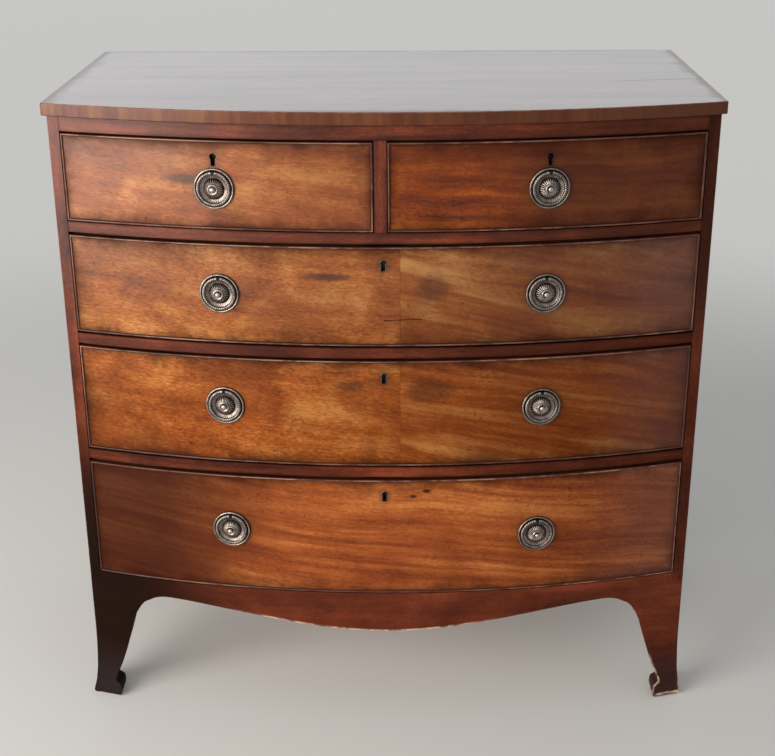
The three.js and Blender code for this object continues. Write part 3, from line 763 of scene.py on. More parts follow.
class WoodMaterial:
    """Builds the material of one piece of wood."""

    leaf_offset = 7.7
    shift_per_seed = (3.1, 1.7, 2.3)
    bump_height = 0.00018

    def __init__(self, name: str, finish: WoodFinish, lay: Lay, seed: float = 0.0, lean: float = 0.0) -> None:
        """Starts the material with its figure.

        Args:
            name: Its name.
            finish: The kind of wood.
            lay: Which way the grain runs.
            seed: Picks the place in the wood that the piece is cut from.
            lean: How far the grain rises along the piece.
        """
        self.material = bpy.data.materials.new(name)
        self.material.use_nodes = True
        self.material.node_tree.nodes.clear()
        self.tree = Tree(self.material.node_tree)
        self.finish = finish
        self.axes = self.tree.split(self.tree.object_place())
        self.place = self.tree.join(*(self.axes[index] for index in lay.value))
        along, across, deep = self.tree.split(self.place)
        leaning = self.tree.join(along, self.tree.math("MULTIPLY_ADD", along, lean, across), deep)
        self.shifted = self.tree.vector("ADD", leaning, tuple(shift * seed for shift in self.shift_per_seed))
        self.tone, self.pores = self.figure(self.shifted, finish)
        self.shade = self.rough = self.height = self.gloss = None

    def figure(self, vector: Value, finish: WoodFinish) -> tuple[Socket, Socket]:
        """Lays out a wood's figure.

        Args:
            vector: Where it is read.
            finish: The kind of wood.

        Returns:
            Its tone and its pores.
        """
        grain = self.tree.group(Effects.grain(), Vector=vector, Sway=finish.sway, Band=finish.band,
                                Streak=finish.streak, Mottle=finish.mottle, Fleck=finish.fleck)
        return grain["Tone"], grain["Pores"]

    def second_figure(self, finish: WoodFinish, mask: Value, lean: float = 0.0) -> None:
        """Lays another figure where a mask is white, as a second leaf of veneer.

        Args:
            finish: The kind of wood.
            mask: Where it lies.
            lean: How far its grain rises along the piece.
        """
        along, across, deep = self.tree.split(self.shifted)
        leaning = self.tree.math("MULTIPLY_ADD", along, lean, across)
        place = self.tree.join(self.tree.math("ADD", along, self.leaf_offset), leaning, deep)
        tone, pores = self.figure(place, finish)
        self.tone = self.tree.between(mask, self.tone, tone)
        self.pores = self.tree.between(mask, self.pores, pores)

    def colour_up(self) -> "WoodMaterial":
        """Turns the figure into colour, with pores and slow changes of tone.

        Returns:
            The material under work.
        """
        tree, finish = self.tree, self.finish
        self.shade = tree.colours(self.tone, ((0.12, finish.dark), (0.5, finish.middle), (0.88, finish.light)))
        patina = tree.ramp(tree.noise(self.shifted, 5.5, 3.0, 0.6), 0.42, 0.70, 0.0, finish.patina)
        self.shade = tree.blend(patina, self.shade, finish.dark)
        self.shade = tree.blend(tree.math("MULTIPLY", self.pores, finish.pore_depth), self.shade, finish.pore)
        rubbed = tree.noise(self.shifted, (1.6, 15.0, 9.0), 3.0, 0.6)
        self.rough = tree.ramp(rubbed, 0.3, 0.75, finish.roughness - finish.rubbed, finish.roughness + finish.rubbed)
        if finish.polish_low < 1.0:
            self.gloss = tree.ramp(self.axes[2], *finish.polish_heights, finish.polish_low, 1.0)
        self.height = tree.math("MULTIPLY_ADD", self.pores, -0.35, tree.math("MULTIPLY", self.tone, 0.12))
        return self

    def darken(self, mask: Value, shade: Colour, amount: float, rough: float = 0.0) -> None:
        """Lays a colour over the piece where a mask is white.

        Args:
            mask: Where it lies.
            shade: The colour.
            amount: How much of it is laid.
            rough: How much rougher the piece gets there, which also dulls it.
        """
        laid = self.tree.math("MULTIPLY", mask, amount)
        self.shade = self.tree.blend(laid, self.shade, shade)
        if rough:
            self.rough = self.tree.math("MULTIPLY_ADD", mask, rough, self.rough)
            self.dull(laid)

    def dull(self, mask: Value) -> None:
        """Takes the polish away where a mask is white."""
        left = self.tree.math("SUBTRACT", 1.0, mask)
        self.gloss = left if self.gloss is None else self.tree.math("MULTIPLY", self.gloss, left)

    def grime(self, low: Pair, high: Pair, reach: float, amount: float) -> None:
        """Darkens the piece inside a rectangle's edges.

        Args:
            low: The rectangle's lowest corner, along and across the grain.
            high: Its highest corner.
            reach: How far in the dirt lies.
            amount: How dark it is.
        """
        mask = self.tree.group(Effects.grime(), Vector=self.place, Low=(*low, -9.0), High=(*high, 9.0),
                               Reach=reach)["Grime"]
        self.darken(mask, Palette.grime, amount, 0.08)

    def stains(self, stains: Iterable[Stain]) -> None:
        """Lays dark places over the piece.

        Args:
            stains: The places.
        """
        for stain in stains:
            mask = self.tree.group(Effects.spot(), Vector=self.flat(), Middle=(stain.along, stain.across, 0.0),
                                   Size=(stain.long, stain.wide, 1.0))["Spot"]
            self.darken(mask, Palette.grime, stain.depth)

    def cracks(self, *cracks: Crack) -> None:
        """Draws dark lines that are sunk and have no polish.

        Args:
            cracks: The lines.
        """
        for crack in cracks:
            mask = self.tree.group(Effects.line(), Vector=self.flat(), From=(*crack.start, 0.0),
                                   To=(*crack.end, 0.0), Width=crack.width)["Line"]
            self.darken(mask, Palette.grime, crack.depth)
            self.height = self.tree.math("MULTIPLY_ADD", mask, -0.8 * crack.depth, self.height)
            self.dull(mask)

    def pits(self, amount: float) -> None:
        """Adds small dark dents and specks, in loose crowds.

        Args:
            amount: How dark they are.
        """
        tree = self.tree
        dots = tree.ramp(tree.noise(self.shifted, 210.0, 1.0, 0.4), 0.675, 0.74)
        crowd = tree.ramp(tree.noise(self.shifted, 14.0, 2.0, 0.6), 0.42, 0.62)
        self.darken(tree.math("MULTIPLY", dots, crowd), Palette.grime, amount)

    def flat(self) -> Socket:
        """The place along and across the grain, with no depth."""
        along, across, _ = self.tree.split(self.place)
        return self.tree.join(along, across, 0.0)

    def arris(self, low: float = 0.0004, high: float = 0.0016) -> Socket:
        """White along the edge that the attribute named arris measures from."""
        return self.tree.fade(self.tree.attribute("arris"), low, high)

    def worn(self, mask: Value, shade: Colour, amount: float, scale: float = 70.0) -> None:
        """Lightens the piece where polish has rubbed off.

        Args:
            mask: Where it may be rubbed.
            shade: The colour of the bare wood.
            amount: How much of it shows.
            scale: How small the chips are.
        """
        chips = self.tree.noise(self.place, scale, 4.0, 0.7)
        broken = self.tree.math("MULTIPLY", mask, self.tree.ramp(chips, 0.38, 0.6, 0.1, 1.0))
        self.shade = self.tree.blend(self.tree.math("MULTIPLY", broken, amount), self.shade, shade)
        self.rough = self.tree.math("MULTIPLY_ADD", broken, 0.15, self.rough)

    def finished(self) -> Material:
        """Connects everything to the shader.

        Returns:
            The finished material.
        """
        tree, finish = self.tree, self.finish
        varies = finish.coat > 0.0 and self.gloss is not None
        wave = tree.noise(self.place, 11.0)
        bump = tree.fed(tree.add("ShaderNodeBump"), {
            "Strength": 1.0, "Distance": self.bump_height,
            "Height": tree.math("MULTIPLY_ADD", wave, finish.wave * 4.0, self.height)})
        shader = tree.fed(tree.add("ShaderNodeBsdfPrincipled"), {
            "Coat Weight": tree.math("MULTIPLY", self.gloss, finish.coat) if varies else finish.coat,
            "Coat Roughness": finish.coat_roughness, "Specular IOR Level": finish.specular,
            "Base Color": self.shade, "Roughness": self.rough, "Normal": bump.outputs[0]})
        tree.fed(tree.add("ShaderNodeOutputMaterial"), {"Surface": shader.outputs[0]})
        return self.material


class Palette:
    """Finishes and colours of the chest, and the plain materials made from them."""

    veneer = WoodFinish(*colours("652d0f", "a5571e", "cf8d4b", "3a1608"), roughness=0.46, coat=0.94, polish_low=0.15,
                        mottle=1.15, band=0.6, streak=0.3, fleck=0.9, patina=0.6)
    streaked = WoodFinish(*colours("4c1c08", "863c10", "b26222", "301207"), coat=0.52, polish_low=0.29, band=1.35,
                          mottle=0.55, fleck=0.6, sway=0.09, pore_depth=0.45, patina=0.55)
    carcase = WoodFinish(*colours("36120a", "622a16", "8a4226", "1e0a06"), coat=0.56, polish_low=0.3, mottle=0.9,
                         band=1.2, fleck=0.6, pore_depth=0.4)
    cross = WoodFinish(*colours("3a170c", "63301c", "84502a", "240c06"), coat=0.56, coat_roughness=0.34, mottle=0.8,
                       band=0.9, streak=1.0, pore_depth=0.35)
    top = WoodFinish(*colours("4c2010", "6e371c", "8f522c", "2a120a"), roughness=0.3, rubbed=0.03, coat=1.0,
                     coat_roughness=0.17, specular=0.5, band=1.3, streak=0.8, fleck=0.4, wave=0.02, pore_depth=0.3)
    bead = WoodFinish(*colours("240d06", "3e1a10", "5c2c1e", "1a0804"), roughness=0.42, coat=0.5, coat_roughness=0.36,
                      mottle=0.6, band=0.8, streak=0.6)
    ground = WoodFinish(*colours("5a3620", "7d5432", "9b7044", "3c2414"), roughness=0.6, coat_roughness=0.2,
                        specular=0.25, mottle=0.4)
    lining = WoodFinish(*colours("8a5a34", "b0804e", "c99c68", "5e3a20"), roughness=0.62, coat_roughness=0.2,
                        specular=0.3, mottle=0.6)
    pine = WoodFinish(*colours("7a4c30", "a5704a", "c08f64", "5a3822"), roughness=0.72, coat_roughness=0.2,
                      specular=0.2, mottle=0.6, streak=1.2)
    # The second colour is a near-black painted shadow, the third a painted shade and the fifth a painted grey-violet
    # sheen. grime is real dirt and, where noted, painted shade. edge is worn wood and, on the beads' crests, partly a
    # painted highlight.
    grime, soot, smoke, ember, violet, slate, edge, bare = colours(
        "240f08", "120804", "300c02", "4c1a03", "6a5150", "2c2426", "c09078", "d3b6a2")

    @staticmethod
    def plain(name: str, finish: WoodFinish, lay: Lay, seed: float = 0.0) -> Material:
        """A finish with its figure only."""
        return WoodMaterial(name, finish, lay, seed).colour_up().finished()


@dataclass(frozen=True)
class MetalFinish:
    """How one kind of metal looks."""

    bright: Colour
    middle: Colour
    hollow: Colour
    roughness: float = 0.3
    spread: float = 0.2

    def material(self, name: str) -> Material:
        """Makes old metal: bright on its ridges, dark where the attribute named hollow is high.

        Args:
            name: The material's name.

        Returns:
            The material.
        """
        material = bpy.data.materials.new(name)
        material.use_nodes = True
        material.node_tree.nodes.clear()
        tree = Tree(material.node_tree)
        place = tree.object_place()
        cloud, fine = tree.noise(place, 120.0, 4.0, 0.65), tree.noise(place, 900.0, 2.0, 0.6)
        spots = tree.math("MULTIPLY", tree.centred(cloud), 0.9)
        tarnish_and_shade = tree.math("ADD", tree.attribute("hollow"), spots, clamp=True)
        rough = tree.math("MULTIPLY_ADD", tarnish_and_shade, self.spread, self.roughness)
        bump = tree.fed(tree.add("ShaderNodeBump"), {"Strength": 0.6, "Distance": 0.0001,
                                                     "Height": tree.math("ADD", fine, cloud)})
        shader = tree.fed(tree.add("ShaderNodeBsdfPrincipled"), {
            "Metallic": 1.0,
            "Base Color": tree.colours(tarnish_and_shade, ((0.0, self.bright), (0.4, self.middle), (0.85, self.hollow))),
            "Roughness": tree.math("MULTIPLY_ADD", tree.centred(fine), 0.1, rough), "Normal": bump.outputs[0]})
        tree.fed(tree.add("ShaderNodeOutputMaterial"), {"Surface": shader.outputs[0]})
        return material


# The carcase


@dataclass(frozen=True)
class Case:
    """Sizes that the carcase's pieces share."""

    half_width: float
    opening_half: float
    back_y: float
    back_panel_y: float
    foot_height: float
    notch_height: float
    top_of_case: float
    top_of_top: float
    rail_back_y: float
    divider: Pair
    floors: dict[str, float]
    ceilings: dict[str, float]
    front_y: float = -0.197
    rail_thickness: float = 0.017
    dust_thickness: float = 0.009
    back_housing: float = 0.008
    fit: float = 0.0003
    lap: float = 0.001
    hair: float = 0.00002
    lining_top_gap: float = 0.008

    @classmethod
    def from_frame(cls) -> "Case":
        """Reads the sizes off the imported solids.

        Returns:
            The case that the solids make.
        """
        side, top, rail, divider = (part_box(name) for name in ("side_right", "top_board", "top_rail", "centre_divider"))
        rows = {"bottom": "drawer_bottom", "middle": "drawer_middle", "upper": "drawer_upper",
                "top": "drawer_short_left"}
        linings = {row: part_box(f"{name}_lining") for row, name in rows.items()}
        return cls(
            half_width=side[1].x, opening_half=side[0].x, back_y=side[1].y, back_panel_y=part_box("back_panel")[0].y,
            foot_height=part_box("foot_front_right")[1].z, notch_height=side[0].z, top_of_case=top[0].z,
            top_of_top=top[1].z, rail_back_y=rail[1].y, divider=(divider[0].x, divider[1].x),
            floors={row: low.z - cls.fit for row, (low, _) in linings.items()},
            ceilings={row: high.z + cls.lining_top_gap for row, (_, high) in linings.items()})

    @property
    def opening(self) -> Pair:
        """The left and right end of the space between the sides."""
        return -self.opening_half, self.opening_half


CASE = Case.from_frame()


def face_fade(tree: Tree, deep: Value) -> Socket:
    """White at the front of the case, and black from a hand's breadth behind it."""
    return tree.fade(deep, CASE.front_y + 0.01, CASE.front_y + 0.09)


@dataclass
class TopBoard:
    """The top: a wide polished board whose front edge is veneered across its thickness."""

    overhang: float = 0.007
    round_over: float = 0.0014
    columns: int = 128
    patches: tuple[float, ...] = (-0.386, -0.202, 0.031, 0.118, 0.31)
    crack: Crack = Crack((0.36, -0.035), (0.507, -0.012), 0.0018, 0.6)
    stains: tuple[Stain, ...] = (Stain(-0.47, 0.2, 0.02, 0.01, 0.8), Stain(-0.46, 0.235, 0.012, 0.006, 0.8))

    def material(self) -> Material:
        """Makes the polish of the upper side.

        Returns:
            The material.
        """
        wood = WoodMaterial("polished top", Palette.top, Lay.TOP, 1.3).colour_up()
        wood.grime((-CASE.half_width, CASE.front_y - BOW.rise), (CASE.half_width, CASE.back_y), 0.02, 0.4)
        wood.cracks(self.crack)
        wood.stains(self.stains)
        return wood.finished()

    def edge_material(self) -> Material:
        """Makes the cross grained patches of veneer along the front edge, each with its own tone, darkened towards the
        right by painted shade.

        Returns:
            The material.
        """
        wood = WoodMaterial("cross grained edge", Palette.cross, Lay.STILE, 4.1).colour_up()
        tree, x = wood.tree, wood.axes[0]
        for index, place in enumerate(self.patches):
            tone = Palette.cross.light if index % 2 == 0 else Palette.cross.dark
            wood.darken(tree.math("GREATER_THAN", x, place), tone, 0.16)
            gap = tree.math("ABSOLUTE", tree.math("SUBTRACT", x, place))
            wood.darken(tree.fade(gap, 0.0003, 0.0012), Palette.grime, 0.4)
        # Painted shade: the edge darker towards the right.
        wood.darken(tree.ramp(x, -0.25, 0.15), Palette.cross.dark, 0.5)
        wood.worn(wood.arris(), Palette.edge, 0.4)
        return wood.finished()

    def build(self) -> None:
        """Makes the board, and lays the cross grain on all its edges."""
        reach = CASE.half_width + self.overhang
        form = Form()
        form.bowed_board((-reach, reach), (CASE.top_of_case, CASE.top_of_top), self.overhang, CASE.back_y, self.columns)
        form.soften(self.round_over, 3, 50)
        piece = show(form, "polished_top", self.material(), ["top_board"])
        piece.data.materials.append(self.edge_material())
        for polygon in piece.data.polygons:
            if abs(polygon.normal.z) < 0.9:
                polygon.material_index = 1
        paint(piece, "arris", (CASE.top_of_top - vertex.co.z for vertex in piece.data.vertices))


@dataclass
class SideBoard:
    """One side of the case: its front end is the stile, and its back edge is rebated for the back."""

    side: int
    round_over: float = 0.0008
    bracket_reach: float = 0.105
    least_upright: float = 0.1

    def material(self) -> Material:
        """Makes the side's polish, darkened low down by painted shade, with a painted shadow that turns the left
        stile's foot black and, on the right side, painted shade high up.

        Returns:
            The material.
        """
        wood = WoodMaterial(f"polished side {self.side}", Palette.carcase, Lay.UPRIGHT, 2.0 + self.side).colour_up()
        tree, (_, deep, height) = wood.tree, wood.axes
        # Painted shade: both sides darker low down.
        low = tree.fade(height, 0.34, 0.64 if self.side < 0 else 0.85)
        wood.darken(low, Palette.grime, 0.35, 0.04)
        if self.side < 0:
            # Painted shadow: the left stile nearly black low down at the front.
            wood.darken(tree.math("MULTIPLY", low, face_fade(tree, deep)), Palette.soot, 0.93, 0.04)
        else:
            # Painted shade: the right side darker high up.
            wood.darken(tree.ramp(height, 0.62, 0.82), Palette.grime, 0.7, 0.04)
        wood.worn(wood.arris(), Palette.edge, 0.35)
        return wood.finished()

    def build(self) -> None:
        """Makes the board, with the tongue below it that the feet are glued to."""
        inner, outer = CASE.opening_half, CASE.half_width
        y0, y1, panel = CASE.front_y, CASE.back_y, CASE.back_panel_y - CASE.fit
        rebate = inner + CASE.back_housing + CASE.fit
        plan = [(inner, BOW.y(inner)), (outer, y0), (outer, y1), (rebate, y1), (rebate, panel), (inner, panel)]
        form = Form()
        form.prism([Vector((self.side * x, y, CASE.foot_height)) for x, y in plan],
                   Vector((0, 0, CASE.top_of_case - CASE.foot_height)))
        form.soften(self.round_over, 2, 50, lambda edge: all(v.co.y < y0 + 1e-4 for v in edge.verts)
                    and abs(edge.verts[0].co.z - edge.verts[1].co.z) > self.least_upright)
        x0, x1 = sorted((self.side * inner, self.side * outer))
        form.block((x0, y0 + self.bracket_reach, CASE.notch_height),
                   (x1, y1 - self.bracket_reach, CASE.foot_height + CASE.lap / 2))
        name = "left" if self.side < 0 else "right"
        piece = show(form, f"polished_side_{name}", self.material(), [f"side_{name}"])
        paint(piece, "arris", (max(outer - abs(v.co.x), v.co.y - y0) for v in piece.data.vertices))


@dataclass
class Rails:
    """The bowed rails between the drawers, the top rail and the upright between the short drawers."""

    round_over: float = 0.0004
    stop_place: float = 0.2892
    stop_size: Point = (0.036, 0.0214, 0.005)
    stop_round_over: float = 0.0006
    guide_height: float = 0.030
    divider_columns: int = 8
    mortise_near: Point = (-0.0126, 0.0124, -0.001)
    mortise_far: Point = (0.0126, 0.0186, 0.009)
    corner_reach: float = 0.005
    corner_dirt: float = 0.5

    def material(self, name: str, seed: float, low: float, high: float) -> Material:
        """Makes a rail's polish, darkened towards its right end by painted shade.

        Args:
            name: The material's name.
            seed: Picks the place in the wood.
            low: The rail's underside.
            high: Its upper side.

        Returns:
            The material.
        """
        wood = WoodMaterial(name, Palette.carcase, Lay.FRONT, seed).colour_up()
        wood.grime((-CASE.opening_half, low), (CASE.opening_half, high), self.corner_reach, self.corner_dirt)
        # Painted shade: darker towards the right end.
        wood.darken(wood.tree.ramp(wood.axes[0], -0.1, 0.4), Palette.grime, 0.55, 0.03)
        return wood.finished()

    def stops(self, form: Form, z: float) -> None:
        """Adds two small blocks that the drawer above comes up against.

        Args:
            form: What they stand on.
            z: How high that is.
        """
        wide, deep, high = self.stop_size
        for side in (-1, 1):
            small = Form()
            small.block((-wide / 2, FRONT_THICKNESS + 2 * CASE.fit, -CASE.lap),
                        (wide / 2, FRONT_THICKNESS + deep, high))
            small.soften(self.stop_round_over, 1)
            small.move(BOW.seat(side * self.stop_place, z))
            form.take_in(small)

    def mortise(self, x: float, z: float) -> Form:
        """Shapes the slot that a lock's bolt goes up into.

        Args:
            x: Where the lock is.
            z: The underside of the rail over it.

        Returns:
            The slot.
        """
        tool = Form()
        tool.block(self.mortise_near, self.mortise_far)
        tool.move(BOW.seat(x, z))
        return tool

    def board(self, low: float, high: float) -> Form:
        """Shapes a rail between the sides.

        Args:
            low: Its underside.
            high: Its upper side.

        Returns:
            The rail.
        """
        form = Form()
        form.bowed_board(CASE.opening, (low, high), 0.0, CASE.rail_back_y)
        form.soften(self.round_over, 1, 50)
        return form

    def rail(self, node: str, upper: float, seed: float) -> None:
        """Makes one division rail with its dust board and stops.

        Args:
            node: The solid that it stands for.
            upper: Its upper side.
            seed: Picks the place in the wood.
        """
        lower = upper - CASE.rail_thickness
        piece = show(self.board(lower, upper), f"bowed_{node}", self.material(f"bowed {node}", seed, lower, upper),
                     [node])
        cut(piece, self.mortise(0.0, lower))
        behind = Form()
        behind.block((-CASE.opening_half, CASE.rail_back_y - CASE.lap, upper - CASE.dust_thickness),
                     (CASE.opening_half, CASE.back_panel_y - CASE.fit, upper - CASE.hair))
        self.stops(behind, upper)
        attach(piece, behind)

    def build(self) -> None:
        """Makes the three division rails, the top rail and the upright."""
        for node, row, seed in (("rail_upper", "top", 5.0), ("rail_middle", "upper", 6.0),
                                ("rail_lower", "middle", 7.0)):
            self.rail(node, CASE.floors[row], seed)
        low, high = CASE.ceilings["top"], CASE.top_of_case
        piece = show(self.board(low, high), "bowed_top_rail", self.material("bowed top rail", 8.0, low, high),
                     ["top_rail"])
        cut(piece, self.mortise(LEFT_PULL, low), self.mortise(RIGHT_PULL, low))
        self.divider()

    def divider(self) -> None:
        """Makes the upright between the short drawers, with the guide behind it."""
        x0, x1 = CASE.divider
        floor, ceiling = CASE.floors["top"], CASE.ceilings["top"]
        form = Form()
        form.bowed_board((x0, x1), (floor, ceiling), 0.0, CASE.rail_back_y, self.divider_columns)
        form.block((x0, CASE.rail_back_y - CASE.lap, floor),
                   (x1, CASE.back_panel_y - CASE.fit, floor + self.guide_height))
        wood = WoodMaterial("upright between drawers", Palette.carcase, Lay.STILE, 9.0).colour_up()
        wood.grime((floor, x0), (ceiling, x1), self.corner_reach, self.corner_dirt)
        show(form, "upright_between_drawers", wood.finished(), ["centre_divider"])


def base_veneer() -> Material:
    """Makes the leaf of apron, lower rail and feet, worn along its sawn edge, darkened near the floor by painted shade
    and greyer there, and nearly black at the front's left part as painted shadow.

    Returns:
        The material.
    """
    smooth = replace(Palette.carcase, band=0.6, streak=0.3, mottle=0.8, fleck=0.4)
    wood = WoodMaterial("base veneer", smooth, Lay.FRONT, 11.0).colour_up()
    tree = wood.tree
    across, deep, height = wood.axes
    # Painted shade: darker towards the floor.
    wood.darken(tree.fade(height, 0.0, 0.2), Palette.grime, 0.6, 0.1)
    # Painted shadow: the front's left part, with the left foot, nearly black.
    left = tree.math("MULTIPLY", face_fade(tree, deep), tree.fade(across, -0.43, -0.08))
    wood.darken(left, Palette.soot, 0.95, 0.05)
    wood.darken(tree.fade(height, 0.03, 0.12), Palette.slate, 0.6, 0.05)
    toe = tree.math("MULTIPLY", tree.math("GREATER_THAN", across, 0.4), tree.fade(height, 0.06, 0.1))
    middle = tree.math("MULTIPLY", tree.ramp(across, -0.27, -0.18), tree.fade(across, 0.1, 0.2))
    rubbed = tree.math("MULTIPLY", wood.arris(0.0012, 0.0042), tree.math("MAXIMUM", toe, middle))
    wood.worn(rubbed, Palette.bare, 0.9, 60.0)
    return wood.finished()


@dataclass
class Base:
    """Bottom board, serpentine apron and the front's lower rail; the apron and the rail share one veneer, the board is
    pine.
    """

    finish: Material
    end: float = 0.395
    peak: float = 0.363
    peak_drop: float = 0.0155
    centre_drop: float = 0.055
    stock: float = 0.022
    round_over: float = 0.0009
    first_across: float = 0.36
    second_across: float = 0.7
    second_up: float = 0.89
    shoulder_across: float = 0.6
    rail_columns: int = 12

    def lower_edge(self) -> Rows:
        """Draws half of the serpentine.

        Returns:
            Places across and heights, from the middle to the foot.
        """
        peak, centre = CASE.foot_height - self.peak_drop, CASE.foot_height - self.centre_drop
        second = centre + self.second_up * (peak - centre)
        curve = bezier(((0.0, centre), (self.first_across * self.peak, centre),
                        (self.second_across * self.peak, second), (self.peak, peak)), 40)
        shoulder = self.peak + self.shoulder_across * (self.end - self.peak)
        tip = (self.end, CASE.notch_height)
        third, fourth = (tuple(a + 2 / 3 * (b - a) for a, b in zip(end, (shoulder, peak)))
                         for end in ((self.peak, peak), tip))
        return curve + bezier(((self.peak, peak), third, fourth, tip), 8)[1:]

    def build(self) -> None:
        """Makes the apron, the lower rail's ends and the bottom board."""
        half = self.lower_edge()
        run = [(-x, z) for x, z in reversed(half)] + half[1:]
        top = CASE.floors["bottom"]
        form = Form()
        form.loft([[BOW.point(x, z), BOW.point(x, top), BOW.point(x, top, -self.stock), BOW.point(x, z, -self.stock)]
                   for x, z in run])
        form.soften(self.round_over, 2, 50, lambda edge: all(v.co.z < CASE.foot_height for v in edge.verts)
                    and abs(edge.verts[0].co.x - edge.verts[1].co.x) > 1e-5)
        piece = show(form, "serpentine_apron", self.finish)
        paint(piece, "arris", (max(v.co.z - between(run, v.co.x), v.co.y - BOW.y(v.co.x))
                               for v in piece.data.vertices))
        self.corner_rails()
        self.board()

    def corner_rails(self) -> None:
        """Makes the stretches of lower rail above the feet."""
        for side, name in ((-1, "left"), (1, "right")):
            form = Form()
            x0, x1 = sorted((side * self.end, side * CASE.opening_half))
            form.bowed_board((x0, x1), (CASE.foot_height, CASE.floors["bottom"]), 0.0, CASE.rail_back_y,
                             self.rail_columns)
            piece = show(form, f"lower_rail_{name}", self.finish)
            paint(piece, "arris", (1.0 for _ in piece.data.vertices))

    def board(self) -> None:
        """Makes the flat board that closes the case below."""
        form = Form()
        form.bowed_board(CASE.opening, (CASE.foot_height, CASE.floors["bottom"] - CASE.hair),
                         -self.stock + CASE.lap, CASE.back_panel_y - CASE.fit)
        Rails().stops(form, CASE.floors["bottom"])
        show(form, "bottom_board", Palette.plain("bottom board pine", Palette.pine, Lay.TOP, 12.0),
             ["bottom_board_apron"])


@dataclass
class BracketFoot:
    """A splayed bracket foot: two facings that meet at the corner, and a block behind them."""

    side: int
    front: bool
    finish: Material
    reach: float = 0.105
    flare: float = 0.010
    stock: float = 0.020
    round_over: float = 0.0011
    block_size: float = 0.034
    block_lift: float = 0.100
    toe_height: float = 0.018
    wear_fade: float = 0.3
    face_columns: int = 10
    per_span: int = 5
    heights: tuple[float, ...] = (0, 0.03, 0.095, 0.125, 0.165, 0.22, 0.3, 0.4, 0.54, 0.7, 0.8, 0.86, 0.893, 1)
    widths: tuple[float, ...] = (0.34, 0.375, 0.37, 0.295, 0.305, 0.355, 0.43, 0.495, 0.59, 0.69, 0.79, 0.885, 1, 1)
    flares: tuple[float, ...] = (0.6, 1, 0.68, 0.53, 0.42, 0.27, 0.17, 0.07, 0, 0, 0, 0, 0, 0)

    def levels(self) -> list[Point]:
        """Works out the foot's outline.

        Returns:
            Height, width from the corner and outward flare, from the floor up.
        """
        rows = list(zip(self.heights, self.widths, self.flares))
        fine = smooth_through(rows[:-1], self.per_span) + [rows[-1]]
        return [(z * CASE.foot_height, min(w, 1.0) * self.reach, min(max(f, 0.0), 1.0) * self.flare)
                for z, w, f in fine]

    def ring(self, z: float, width: float, flare: float) -> list[Vector]:
        """Outlines the foot at one height, seen from above.

        Args:
            z: The height.
            width: How far the facings reach from the corner.
            flare: How far they stand out.

        Returns:
            The outline's corners.
        """
        outer, inner, behind = CASE.half_width + flare, CASE.half_width - width, CASE.half_width - self.stock
        if self.front:
            y0 = CASE.front_y
            face = [(x, BOW.y(min(x, CASE.half_width)) - flare) for x in spread(inner, outer, self.face_columns)]
            corners = [*face, (outer, y0 + width), (behind, y0 + width), (behind, y0 + self.stock),
                       (inner, y0 + self.stock)]
        else:
            y0 = CASE.back_y
            corners = [(inner, y0 - self.stock), (behind, y0 - self.stock), (behind, y0 - width), (outer, y0 - width),
                       (outer, y0), (inner, y0)]
        return [Vector((self.side * x, y, z)) for x, y in corners]

    def build(self) -> None:
        """Makes the foot."""
        form = Form()
        form.loft([self.ring(*row) for row in self.levels()])
        form.soften(self.round_over, 2, 45, lambda edge: abs(edge.verts[0].co.z - edge.verts[1].co.z) > 1e-5
                    or edge.verts[0].co.z < 1e-4)
        inner = CASE.half_width - self.stock - self.block_size
        y0 = CASE.front_y + self.stock if self.front else CASE.back_y - self.stock - self.block_size
        x0, x1 = sorted((self.side * inner, self.side * (CASE.half_width - self.stock)))
        form.block((x0, y0, self.block_lift), (x1, y0 + self.block_size, CASE.foot_height))
        corner = f"{'front' if self.front else 'back'}_{'left' if self.side < 0 else 'right'}"
        piece = show(form, f"splayed_foot_{corner}", self.finish, [f"foot_{corner}"])
        paint(piece, "arris", (self.arris(v.co) for v in piece.data.vertices))

    def arris(self, place: Vector) -> float:
        """Measures how far a point lies from the front facing's sawn edges.

        Args:
            place: The point.

        Returns:
            The distance, which is far on a back foot.
        """
        if not self.front:
            return 1.0
        levels = self.levels()
        inward = abs(place.x) - (CASE.half_width - between([(z, width) for z, width, _ in levels], place.z))
        flare = between([(z, out) for z, _, out in levels], place.z)
        above = max(0.0, place.z - self.toe_height)
        outward = CASE.half_width + flare - abs(place.x) + self.wear_fade * above
        toe = abs(place.z - self.heights[1] * CASE.foot_height)
        depth = place.y - BOW.y(min(abs(place.x), CASE.half_width))
        return max(min(max(inward, 0.0), toe, max(outward, 0.0)), depth)


# Drawers


def round_about(radius: float, height: float, angle: float) -> Vector:
    """Places a point about a pull's middle, so high above the drawer front."""
    return Vector((radius * math.cos(angle), -height, radius * math.sin(angle)))


